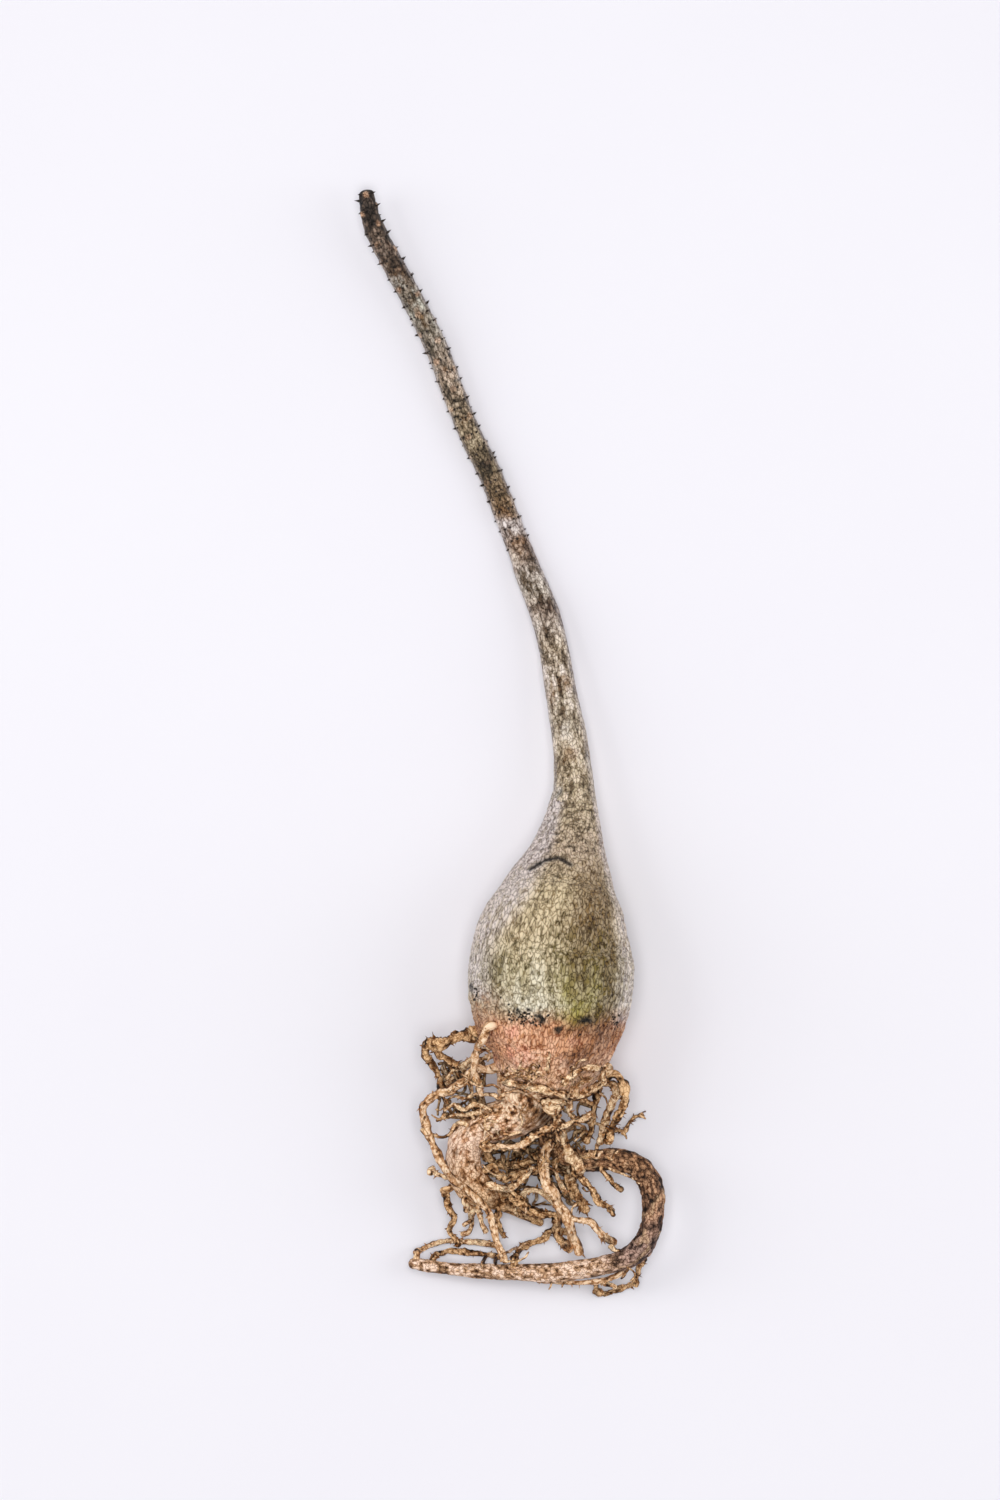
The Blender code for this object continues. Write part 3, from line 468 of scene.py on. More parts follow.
# Thin bits that lie on the tangle: tone, radius, tip share, route in X and Y. Their heights come from what
# they lie on.
TWIGS = [
    ("dark", 0.28, 0.5, [(-25.8, -110.8), (-26.4, -112.4), (-27.2, -114.2)]),
    ("tan", 0.8, 0.8, [(-26.6, -114.8), (-26, -115.6), (-25.2, -116.2)]),
    ("dark", 0.35, 0.5, [(-20, -108.3), (-21, -109.2), (-22.4, -109)]),
    ("dark", 0.4, 0.5, [(-19.8, -110.3), (-21.8, -111.6), (-24.2, -110.6)]),
    ("tan", 1.0, 0.9, [(-23.4, -126.6), (-24.2, -126.8), (-24.4, -127.8)]),
    ("tan", 0.7, 0.9, [(-12, -142.6), (-13.2, -143.2), (-14, -143.8)]),
    ("tan", 0.6, 0.8, [(-8.6, -156), (-8.2, -154.2), (-6.6, -153.4), (-5.2, -153.8), (-4.6, -155.6)]),
    ("pale", 0.45, 0.6, [(-2.4, -152.2), (0, -151.5), (2.6, -150.9), (5, -149.7)]),
    ("tan", 0.45, 0.6, [(-2.2, -154.6), (1, -154.4), (4, -153.5), (5.2, -151.9)]),
    ("tan", 0.28, 0.5, [(-8.5, -125.5), (-6, -128), (-3.5, -128.8), (0.5, -128.3)]),
    ("tan", 0.55, 0.8, [(-3.4, -115.4), (-0.5, -115.9), (3.2, -115.5)]),
    ("pale", 0.8, 0.7, [(-3.8, -119.3), (-0.8, -120.2), (2, -120), (5.2, -118.8)]),
    ("tan", 0.5, 0.6, [(22.5, -115.5), (21, -117), (19, -118.6)]),
    ("pale", 0.65, 0.8, [(16.8, -114.8), (19.5, -113.5), (21.7, -114.2)]),
    ("tan", 0.7, 0.8, [(12.5, -114.3), (12.3, -116), (11.4, -118.2)]),
    ("tan", 0.7, 0.8, [(14, -114.3), (15, -116.2), (15.6, -118.7)]),
    ("dark", 0.4, 0.4, [(21.6, -132.4), (22.6, -133.4), (24.2, -133)]),
    ("tan", 1.3, 1.1, [(28.6, -147.6), (29.8, -148.2), (30.6, -148.8)]),
    ("dark", 1.0, 0.9, [(29.6, -138.9), (30.4, -139.7), (30.9, -140.5)]),
    ("tan", 1.2, 1.0, [(16.2, -149.6), (17, -150.3), (17.7, -151)]),
    ("dark", 1.1, 0.9, [(31.8, -131.7), (32.6, -132.3), (33.3, -132.6)]),
    ("tan", 0.45, 0.7, [(29, -126.4), (33, -127.8), (36, -129), (38.5, -131)]),
    ("dark", 0.4, 0.6, [(35, -156.2), (36.4, -157.2), (37.1, -158.6), (36, -160.2)]),
    ("tan", 0.55, 0.8, [(34.4, -157.8), (34, -158.9), (33.2, -159.6)]),
    ("dark", 0.35, 0.3, [(12.3, -161), (11.9, -162.2), (11.4, -163.2)]),
    ("dark", 0.35, 0.3, [(16.2, -160.8), (15.6, -161.8), (15.2, -162.6)]),
    ("dark", 0.9, 0.8, [(37.2, -160.4), (37.9, -161.1), (37.6, -162)]),
    ("dark", 1.0, 0.8, [(25.4, -164.3), (26.4, -165), (27.2, -164.4)]),
    ("tan", 1.3, 0.5, [(28.4, -161.2), (29.8, -162), (31.2, -162.6)]),
    ("tan", 0.9, 0.7, [(30, -149.9), (31.2, -151.1), (32.6, -151.2)]),
    ("dark", 0.5, 0.5, [(33.6, -116.4), (34.6, -117.2), (35, -118.4)]),
    ("dark", 0.4, 0.5, [(38.6, -111.2), (39.6, -110.4), (40.6, -110)]),
    ("dark", 0.4, 0.5, [(38.8, -111.3), (39.9, -111.8), (40.8, -112.4)]),
    ("pale", 0.5, 0.6, [(-10.6, -90.2), (-7.6, -91), (-6.6, -92.8), (-7.2, -94.4)]),
    ("tan", 0.5, 0.6, [(-12.5, -100.3), (-9, -101.6), (-5.4, -101.4), (-2.6, -102.9)]),
    ("tan", 0.45, 0.6, [(-15.4, -97.6), (-12.8, -99.4), (-11.6, -101.9), (-11.9, -104.3)]),
    ("pale", 0.5, 0.7, [(-1.8, -103.4), (1.6, -103), (4.6, -103.9), (7.4, -105.6)]),
    ("tan", 0.4, 0.6, [(4.2, -106.8), (2.8, -109.6), (3.4, -112.3), (2, -114.4)]),
    ("dark", 0.45, 0.6, [(20.6, -98.4), (22.4, -99.3), (24.2, -98.5)]),
    ("tan", 0.5, 0.6, [(29.6, -112), (27.4, -113.4), (25.2, -113)]),
    ("pale", 0.4, 0.6, [(26.8, -104), (28.6, -105.4), (29, -107.8)]),
    ("dark", 0.35, 0.5, [(17.4, -127.2), (19.4, -128.8), (19.6, -131)]),
    ("tan", 0.4, 0.6, [(10.6, -126), (12.4, -126.8), (13.8, -129.2)]),
    ("tan", 0.4, 0.6, [(19.6, -137), (18.2, -139.2), (18.6, -141.4)]),
]

# Colours of the bark down the plant: Y, its shadows, its middle and its lights.
BARK = [
    (167, "#1b1512", "#39302a", "#63544a"),
    (158, "#1f1814", "#40352c", "#735f50"),
    (149, "#2e241c", "#7c6654", "#c4ac98"),
    (143, "#463628", "#7d6753", "#a9a096"),
    (131, "#6a5f4d", "#9a9285", "#cac7b9"),
    (113, "#4c4238", "#a8937e", "#d8c4b2"),
    (95, "#4c3f2b", "#978469", "#c4b498"),
    (83, "#3e3526", "#74624a", "#94846a"),
    (74, "#5e4a32", "#a3886a", "#c9b096"),
    (69.5, "#5e4a36", "#a08872", "#d0bcaa"),
    (68, "#94877f", "#c4b8b2", "#e2dad6"),
    (65, "#7e6e62", "#b8aaa2", "#ded4ce"),
    (62, "#453327", "#8d7462", "#c9b6a6"),
    (57, "#4d3a2a", "#9a8472", "#d4c4b4"),
    (52, "#6f5f4e", "#b7aa9e", "#e2d8ce"),
    (47, "#584630", "#b3a798", "#e4dacc"),
    (42, "#46342a", "#8b7766", "#cbbaaa"),
    (36, "#564434", "#ab9b8b", "#e0d4c8"),
    (30, "#58462f", "#a8957c", "#dccdb8"),
    (23, "#503d2b", "#b5a590", "#eaded4"),
    (8, "#6c5a45", "#baab94", "#e2d5c6"),
    (-4, "#6c5a42", "#b8a68a", "#dccdb8"),
    (-18, "#695741", "#b9a88a", "#e6d5c0"),
    (-31, "#665440", "#b8a48a", "#e2cfbe"),
    (-43, "#7a6748", "#c6b490", "#e6d6b8"),
    (-55, "#7c6b49", "#cdba97", "#eedfc2"),
    (-67, "#7f7350", "#c6b994", "#ece2cc"),
    (-77, "#7f7252", "#cdbf9f", "#f0e6d4"),
    (-83, "#743812", "#d0966a", "#f8d6b8"),
    (-90, "#743610", "#d49668", "#fbdabf"),
    (-97, "#74431f", "#deae84", "#ffe8d2"),
    (-103, "#48260d", "#cb9262", "#ffe0bd"),
    (-109, "#512e13", "#d29e6d", "#ffe3c4"),
    (-118, "#663c1d", "#cb9a74", "#f1d3bb"),
    (-130, "#55300f", "#c08d5e", "#ecc9a5"),
    (-145, "#553719", "#b48a5c", "#e0ba88"),
]
HOOK_BARK = [
    (-110, "#2a180d", "#77543a", "#c49770"),
    (-126, "#2a180d", "#77543a", "#c49770"),
    (-140, "#2a1a11", "#725340", "#bc9375"),
    (-150, "#2e1e18", "#6b544a", "#b59687"),
    (-160, "#3a251c", "#846452", "#cea891"),
]
ARM_BARK = ("#5f3f24", "#cba27c", "#f3d7c0")
SKINS = {
    "pale": ("#5c3517", "#cb9c6c", "#f5d9b8"),
    "tan": ("#301709", "#bf8c5c", "#f8dbb4"),
    "dark": ("#1a0d05", "#96673c", "#e6bf90"),
}

# Where the soil stood on the caudex: X and Y, with a line of black crumbs left on it.
SOIL_LINE = [
    (-13, -71), (-9, -74.5), (-1, -79), (3, -80), (8, -81.5), (14.5, -82), (19, -83.5), (24, -82.5),
    (34, -82),
]
NECK_CREASE = [(5.5, -36.5), (10, -33.7), (14, -33), (18, -35)]

# Where fine rootlets lie on the tangle: middle in X and Y, spread in X and Y, and how many.
MATS = [
    (-9, -105, 5, 8, 60),
    (4, -98, 13, 2, 34),
    (20, -107, 6, 8, 34),
    (-4, -120, 5, 6, 20),
    (13, -124, 8, 6, 34),
    (28, -106, 5, 10, 20),
    (25, -121.5, 8, 3, 22),
    (-16, -99, 5, 7, 40),
    (3, -137, 6, 4, 12),
]

# Where rootlets fill the hollows between the roots, mostly dark and drawn darker still as painted shade of the
# hollows: lowest and highest X, Y and height, and how many.
HOLLOWS = [
    (-9, 12, -129, -112, 3, 15, 46),
    (8, 22, -128, -104, 4, 15, 30),
    (-22, -8, -111, -95, 9, 19, 40),
    (2, 20, -138, -126, 2, 10, 22),
]
LEAP = 4.0  # how far from its skin such a rootlet may be at its second point
DROP = 2.2  # a rootlet that lies on the tangle stops where that falls away by more than this
ABOVE_ALL = 200.0  # a height over the whole plant
TWIG_HEIGHT = 10.0  # where a twig that crosses nothing looks for the skin that it grows from

# How finely the skins are drawn, and where the body's three skins meet.
FINE_STEP = 0.4  # spacing of the rings along a root
SKIN_STEP = 0.34  # and along the body
NECK_SEAM = -17.0
CROWN_SEAM = -101.0
BEYOND_TIP = 400.0
TUCK = 1.5  # how far each skin goes on under the next

# Leaf scars, spines and broken rootlets.
FIRST_SCAR = 1.2  # from the stem's tip
SCAR_SPACING = 1.9
SCAR_COUNT = 62
SCAR_FADING = 0.985  # each scar is this share as strong as the one above it
SPINE_LEANS = (-0.9, -0.4, 0.4, 0.9)  # turns, in radians, of the spine stumps round each scar
STUMP_SPACING = 1.2

# Pits and cracks in the skins. Pits lie where the noise is under PIT_RIM and are deepest under PIT_FLOOR.
PIT_FLOOR = 0.36
PIT_RIM = 0.45
CRACK_WIDTH = 0.12  # in widths of a cell
ROUGHNESS_SPREAD = 0.12  # hollows are this much rougher than the material's value, and raised skin smoother

# The record's material for each tone of root.
SLOTS = {"pale": "pale_root", "tan": "tan_root", "dark": "dark_root"}

# Large odd numbers that scatter the lattice's cells.
CELL_SCATTER = (73856093, 19349663, 83492791)
SEED_SCATTER = 2654435761
LAST_SCATTER = 1274126177

# The camera looks straight down. Its height is in metres, its lens in millimetres.
CAMERA_HEIGHT = 3.02
CAMERA_LENS = 240
CAMERA_AIM = (-3.3, -0.9, 0)


def linear(colour):
    """A colour written as #rrggbb, as linear light."""
    channels = np.array([int(colour[k : k + 2], 16) for k in (1, 3, 5)]) / 255
    return np.where(channels <= 0.04045, channels / 12.92, ((channels + 0.055) / 1.055) ** 2.4)


def ease(low, high, value):
    """0 below low, 1 above high and a smooth S between: 3t^2 - 2t^3."""
    t = np.clip((value - low) / (high - low), 0, 1)
    return t * t * (3 - 2 * t)


def lattice(cell, seed):
    """A repeatable random number from 0 to 1 for each cell with whole-numbered corners."""
    mixed = cell[..., 0] * CELL_SCATTER[0] ^ cell[..., 1] * CELL_SCATTER[1] ^ cell[..., 2] * CELL_SCATTER[2]
    mixed = mixed ^ (seed + 1) * SEED_SCATTER
    mixed = ((mixed & 0xFFFFFFFF) ^ (mixed >> 13 & 0x7FFFF)) * LAST_SCATTER & 0xFFFFFFFF
    return ((mixed ^ mixed >> 16) & 0xFFFF) / 0xFFFF


def noise(places, size, seed=0):
    """Smooth random bumps of this size, from -1 to 1: the lattice's numbers, eased from corner to corner."""
    scaled = places / size
    cell = np.floor(scaled).astype(np.int64)
    t = scaled - cell
    t = t * t * (3 - 2 * t)
    total = np.zeros(places.shape[:-1])
    for corner in itertools.product((0, 1), repeat=3):
        share = np.where(np.array(corner) == 1, t, 1 - t).prod(axis=-1)
        total += share * lattice(cell + np.array(corner), seed)
    return 2 * total - 1


def rough(places, size, seed=0, layers=3):
    """Noise with finer and weaker noise on it: the sum of noise(size / 2^k) / 2^k."""
    total = sum(noise(places, size / 2**k, seed + k) / 2**k for k in range(layers))
    return total / sum(1 / 2**k for k in range(layers))


def through(points, step):
    """A smooth curve through the points, evenly spaced: a centripetal Catmull-Rom spline in every column."""
    points = np.asarray(points, float)
    ends = np.vstack([2 * points[0] - points[1], points, 2 * points[-1] - points[-2]])
    knots = np.concatenate([[0], np.cumsum(np.linalg.norm(np.diff(ends[:, :3], axis=0), axis=1) ** 0.5)])
    pieces = []
    for k in range(1, len(ends) - 2):
        t0, t1, t2, t3 = knots[k - 1 : k + 3]
        t = np.linspace(t1, t2, SPLINE_STEPS, endpoint=False)[:, None]
        a1 = ((t1 - t) * ends[k - 1] + (t - t0) * ends[k]) / (t1 - t0)
        a2 = ((t2 - t) * ends[k] + (t - t1) * ends[k + 1]) / (t2 - t1)
        a3 = ((t3 - t) * ends[k + 1] + (t - t2) * ends[k + 2]) / (t3 - t2)
        b1 = ((t2 - t) * a1 + (t - t0) * a2) / (t2 - t0)
        b2 = ((t3 - t) * a2 + (t - t1) * a3) / (t3 - t1)
        pieces.append(((t2 - t) * b1 + (t - t1) * b2) / (t2 - t1))
    curve = np.vstack(pieces + [points[-1:]])
    run = np.concatenate([[0], np.cumsum(np.linalg.norm(np.diff(curve[:, :3], axis=0), axis=1))])
    places = np.linspace(0, run[-1], max(3, round(run[-1] / step) + 1))
    return np.column_stack([np.interp(places, run, column) for column in curve.T])


def body_stations():
    """The caudex, stem and taproot as rows of X, Y, Z and radius, from the stem's tip down."""
    rows = []
    neck = CROWN_Y + CAUDEX_LENGTH
    for share, x, thickness, underside in STEM_DOWN:
        radius = thickness * STEM_RADIUS
        rows.append((x, neck + share * STEM_LENGTH, radius + underside, radius))
    for share, x, thickness, underside in STEM_UP:
        radius = thickness * STEM_RADIUS
        rows.append((x, neck + share * STEM_LENGTH, radius + underside * TIP_RISE, radius))
    rows.reverse()
    for share, x, fullness, underside in reversed(CAUDEX):
        radius = STEM_RADIUS + fullness * (CAUDEX_RADIUS - STEM_RADIUS)
        rows.append((x, CROWN_Y + share * CAUDEX_LENGTH, radius + underside, radius))
    for x, y, height, thickness in TAPROOT:
        rows.append((x, y, CAUDEX_RADIUS + height, thickness * TAPROOT_RADIUS))
    return rows


def ring_frames(points, heading):
    """Two unit vectors across the curve at each point, carried along it without twisting. The first ring is
    square to the heading, if there is one."""
    tangents = np.gradient(points, axis=0)
    if heading is not None:
        tangents[0] = heading
    tangents /= np.linalg.norm(tangents, axis=1)[:, None]
    across = np.cross(tangents[0], (0, 0, 1) if abs(tangents[0][2]) < STEEP else (1, 0, 0))
    sides = []
    for tangent in tangents:
        across = across - tangent * across.dot(tangent)
        across = across / np.linalg.norm(across)
        sides.append(across)
    sides = np.array(sides)
    return tangents, sides, np.cross(sides, tangents)


def tube(rows, sides, heading=None):
    """Vertices and faces of a closed tube: rings round the rows' points, a flat start and a rounded end."""
    centres = rows[:, :3]
    radii = rows[:, 3]
    tangents, first, second = ring_frames(centres, heading)
    centres = np.vstack([centres, centres[-1] + tangents[-1] * radii[-1] * END_RING])
    radii = np.append(radii, radii[-1] * END_RING_RADIUS)
    first = np.vstack([first, first[-1:]])
    second = np.vstack([second, second[-1:]])
    turn = np.arange(sides) * 2 * math.pi / sides
    round_ring = np.cos(turn)[None, :, None] * second[:, None] + np.sin(turn)[None, :, None] * first[:, None]
    rings = centres[:, None] + round_ring * radii[:, None, None]
    vertices = list(map(tuple, rings.reshape(-1, 3)))
    faces = []
    for ring in range(len(rings) - 1):
        for side in range(sides):
            following = (side + 1) % sides
            low = ring * sides
            high = low + sides
            faces.append((low + side, low + following, high + following, high + side))
    start_pole = len(vertices)
    vertices.append(tuple(rows[0, :3]))
    end_pole = len(vertices)
    vertices.append(tuple(rows[-1, :3] + tangents[-1] * rows[-1, 3] * END_POLE))
    last = (len(rings) - 1) * sides
    for side in range(sides):
        following = (side + 1) % sides
        faces.append((start_pole, following, side))
        faces.append((end_pole, last + side, last + following))
    return vertices, faces


def height_over(tree, place):
    """How far a place is outside a surface, and the surface's normal there."""
    point = Vector(place)
    surface, normal, _, distance = tree.find_nearest(point)
    outside = (point - surface).dot(normal) >= 0
    return (distance if outside else -distance), np.array(normal)


def start_on(tree, place, radius):
    """Where a root of this radius starts on a surface near a place, and a point straight out from there. Its
    end face keeps JOIN_GAP all round, also where the surface is hollow."""
    distance, normal = height_over(tree, place)
    start = np.array(place) + normal * (JOIN_GAP - distance)
    across = np.cross(normal, (0, 0, 1) if abs(normal[2]) < STEEP else (1, 0, 0))
    across /= np.linalg.norm(across)
    square = np.cross(normal, across)
    turn = np.arange(RIM_POINTS)[:, None] * 2 * math.pi / RIM_POINTS
    rim = radius * (1 + LUMP_DEPTH) * (np.cos(turn) * across + np.sin(turn) * square)
    for _ in range(RIM_TRIES):
        lowest = min(height_over(tree, start + edge)[0] for edge in rim)
        start = start + normal * max(0, JOIN_GAP - lowest)
    return start, start + normal * STRAIGHT_START * radius


def moved_clear(tree, place, radius, most):
    """The place moved straight out of a surface, at most so far, to where such a root passes it."""
    distance, normal = height_over(tree, place)
    deficit = radius + SURFACE_GAP - distance
    return np.array(place) + normal * min(max(deficit, 0), most)


def with_heights(route, radius):
    """The route with each height counted from the surface that the plant lies on."""
    placed = []
    for x, y, height in route:
        lying = LYING_HEIGHT * radius
        placed.append((x, y, lying if height is REST else max(CAUDEX_RADIUS + height, radius)))
    return placed


def strand(points, radius, tip_share, phase):
    """A root as evenly spaced rows of X, Y, Z and radius, which swells and narrows a little on its way."""
    curve = through(points, SAMPLE_STEP)
    along = np.linspace(0, 1, len(curve))
    lumps = 1 + LUMP_DEPTH * np.sin(2 * math.pi * np.arange(len(curve)) * SAMPLE_STEP / LUMP_LENGTH + phase)
    radii = radius * (1 + (tip_share - 1) * along) * lumps
    curve[:, 2] = np.maximum(curve[:, 2], radii)
    return np.column_stack([curve, radii])


def smoothed(moves):
    """Each move drawn half way to the mean of its neighbours', with the first left as it is."""
    padded = np.vstack([moves, moves[-1:]])
    middle = 0.5 * moves[1:] + 0.25 * (padded[:-2] + padded[2:])
    return np.vstack([moves[:1], middle])


def settle(strands, owners, parents, ties, trees):
    """Lifts and lowers roots where they cross, until each pair has its gap, and moves them clear of the
    caudex and the hook. A start stays on its parent, and a branch's start follows the root it grows from."""
    rows = np.vstack(strands)
    starts = np.cumsum([0] + [len(each) for each in strands])
    owner = np.repeat(owners, np.diff(starts))
    base = rows[:, :3]
    radius = rows[:, 3]
    moves = np.zeros_like(base)
    held = np.zeros(len(rows), bool)
    for first, last in zip(starts[:-1], starts[1:]):
        in_join = 1 + int(STRAIGHT_START * radius[first] / SAMPLE_STEP)
        held[first : first + in_join] = True
    lying = base[:, 2] < radius * LYING_LIMIT
    need = radius[:, None] + radius[None] + CROSSING_GAP
    span = base[:, None, :2] - base[None, :, :2]
    near = (owner[:, None] != owner[None]) & ((span**2).sum(axis=2) < (need + NEAR_MARGIN) ** 2)
    one, two = np.nonzero(np.triu(near))
    need = need[one, two]
    for step in range(SETTLE_STEPS):
        now = base + moves
        apart = now[one] - now[two]
        wanted = np.sqrt(np.maximum(need**2 - (apart[:, :2] ** 2).sum(axis=1), 0))
        short = np.maximum(wanted - np.abs(apart[:, 2]), 0) * np.where(apart[:, 2] < 0, -1, 1)
        up = np.zeros(len(rows))
        down = np.zeros(len(rows))
        np.maximum.at(up, one, short)
        np.maximum.at(up, two, -short)
        np.maximum.at(down, one, -short)
        np.maximum.at(down, two, short)
        lift = 0.5 * (up - down)
        lift[held | lying] = 0
        moves[:, 2] += lift
        for index in range(len(strands)):
            first, last = starts[index], starts[index + 1]
            for row in range(first + 1, last):
                for name, tree in trees.items():
                    out_of_join = (row - first) * SAMPLE_STEP > JOIN_REACH * radius[row]
                    if parents[index] == name and not out_of_join:
                        continue
                    place = base[row] + moves[row]
                    moves[row] += moved_clear(tree, place, radius[row], MOST_PUSH) - place
            if step < SETTLE_STEPS - FIRM_STEPS:
                moves[first:last] = smoothed(moves[first:last])
            moves[first:last][held[first:last]] = 0
        for child, parent, row in ties:
            moves[starts[child]] = moves[starts[parent] + row]
        under = radius - (base[:, 2] + moves[:, 2])
        moves[:, 2] += np.maximum(under, 0)
    settled = np.column_stack([base + moves, radius])
    return [settled[starts[k] : starts[k + 1]] for k in range(len(strands))]


def line_distance(x, y, route):
    """How far each place is from a line through the route's points, in the plan."""
    nearest = np.full(np.shape(x), np.inf)
    for (ax, ay), (bx, by) in zip(route[:-1], route[1:]):
        length = (bx - ax) ** 2 + (by - ay) ** 2
        share = np.clip(((x - ax) * (bx - ax) + (y - ay) * (by - ay)) / length, 0, 1)
        nearest = np.minimum(nearest, np.hypot(x - ax - share * (bx - ax), y - ay - share * (by - ay)))
    return nearest


def spot(limb, x, y, width, height, wobble=1.2):
    """A soft-edged patch with a ragged rim on the upper side: exp(-(dx/width)^2 - (dy/height)^2)."""
    dx = (limb.base[..., 0] - x + wobble * noise(limb.base, 3.5, 71)) / width
    dy = (limb.base[..., 1] - y + wobble * noise(limb.base, 3.5, 83)) / height
    return np.exp(-(dx**2) - dy**2) * ease(-0.3, 0.3, limb.out[..., 2])


class Limb:
    """A skin round a curve: a ring of places at each row of the curve, with both ends rounded off.

    The place is centre + radius * (cos(turn) * up + sin(turn) * across), with turn going from 0 to 2 pi.
    """

    def __init__(self, rows, sides, heading=None, frames=None, start_run=0.0, end_length=0.8):
        frames = frames or ring_frames(rows[:, :3], heading)
        rows, tangents, across, up = self.rounded_off(rows, frames, end_length)
        turn = np.arange(sides) * 2 * math.pi / sides
        self.out = np.cos(turn)[None, :, None] * up[:, None] + np.sin(turn)[None, :, None] * across[:, None]
        self.radius = rows[:, 3][:, None]
        self.base = rows[:, None, :3] + self.out * self.radius[..., None]
        steps = np.linalg.norm(np.diff(rows[:, :3], axis=0), axis=1)
        self.run = start_run + np.concatenate([[0], np.cumsum(steps)])[:, None]
        self.turn = turn[None]
        self.ends = tangents[[0, -1]]
        self.side = -np.sin(self.turn) * np.ones_like(self.radius)

    @staticmethod
    def rounded_off(rows, frames, end_length):
        """Adds rings of radius r cos(a) at r sin(a) beyond each end."""
        angles = np.radians([20, 40, 58, 74, 86])
        rings = {}
        for end, sign in ((0, -1), (-1, 1)):
            cap = np.repeat(rows[end : end + 1] if end == 0 else rows[-1:], len(angles), axis=0)
            reach = sign * end_length * rows[end, 3] * np.sin(angles)
            cap[:, :3] += frames[0][end] * reach[:, None]
            cap[:, 3] *= np.cos(angles)
            rings[end] = cap[::sign]
        parts = [np.vstack([rings[0], rows, rings[-1]])]
        for vectors in frames:
            first = np.repeat(vectors[:1], len(angles), axis=0)
            last = np.repeat(vectors[-1:], len(angles), axis=0)
            parts.append(np.vstack([first, vectors, last]))
        return parts

    def grain(self, stretch):
        """Places on the skin, for patterns that are this many times as long as wide."""
        radius = np.maximum(self.radius, 0.3)
        run = self.run / stretch * np.ones_like(self.turn)
        return np.stack([np.cos(self.turn) * radius, run, np.sin(self.turn) * radius], axis=-1)


def grid_faces(rings, sides):
    """Quads between neighbouring rings, and a fan of triangles to a pole at each end."""
    low = np.arange(rings - 1)[:, None] * sides
    side = np.arange(sides)
    after = (side + 1) % sides
    corners = [low + side, low + after, low + sides + after, low + sides + side]
    quads = np.stack(corners, axis=-1).reshape(-1, 4)
    start_pole = rings * sides
    last = (rings - 1) * sides
    start = [(start_pole, b, a) for a, b in zip(side, after)]
    end = [(start_pole + 1, last + a, last + b) for a, b in zip(side, after)]
    return quads.tolist() + start + end


def placed(name, vertices, faces, tint, grain, material, slot, replaced=None):
    """An object with these plan vertices, its colour and grain as attributes, riding with the plant."""
    vertices = (np.asarray(vertices) + SHIFT) * MM
    vertices[:, 2] = np.maximum(vertices[:, 2], 0)
    mesh = bpy.data.meshes.new(name)
    mesh.from_pydata(vertices.tolist(), [], faces)
    mesh.shade_smooth()
    colours = np.column_stack([np.clip(tint, 0, 1), np.ones(len(tint))])
    mesh.attributes.new("tint", "FLOAT_COLOR", "POINT").data.foreach_set("color", colours.ravel())
    mesh.attributes.new("grain", "FLOAT_VECTOR", "POINT").data.foreach_set("vector", (grain * MM).ravel())
    mesh.materials.append(material)
    made = bpy.data.objects.new(name, mesh)
    bpy.context.scene.collection.objects.link(made)
    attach(made, "root")
    if replaced:
        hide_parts(replaced)
    return made


def skin(limb, relief, tint):
    """The limb's grid, raised by its relief: base + out * relief. With it, its faces, colours and grain."""
    places = limb.base + limb.out * relief[..., None]
    grain = limb.grain(1)
    poles = []
    for end, sign in ((0, -1), (-1, 1)):
        poles.append(places[end].mean(axis=0) + sign * limb.ends[end] * 0.06 * limb.radius[end])
    vertices = np.vstack([places.reshape(-1, 3), poles])
    colours = np.vstack([tint.reshape(-1, 3), tint[0, :1], tint[-1, :1]])
    grains = np.vstack([grain.reshape(-1, 3), grain[0, :1], grain[-1, :1]])
    return vertices, grid_faces(*relief.shape), colours, grains


def three_tones(shades, mottle):
    """Between shadow, middle and light: mottle runs from -1 to 1."""
    shadow, middle, light = shades
    dark = middle + (shadow - middle) * np.clip(-mottle, 0, 1)[..., None]
    return dark + (light - middle) * np.clip(mottle, 0, 1)[..., None]


def bark_shades(table, y):
    """The table's shadow, middle and light colours at each Y, blended between its rows."""
    table = sorted(table)
    stops = [row[0] for row in table]
    shades = []
    for column in (1, 2, 3):
        colours = np.array([linear(row[column]) for row in table])
        shades.append(np.stack([np.interp(y, stops, channel) for channel in colours.T], axis=-1))
    return shades


def stained(tint, colour, share):
    """The tint with a stain of this colour over it."""
    return tint + (linear(colour) - tint) * np.clip(share, 0, 1)[..., None]


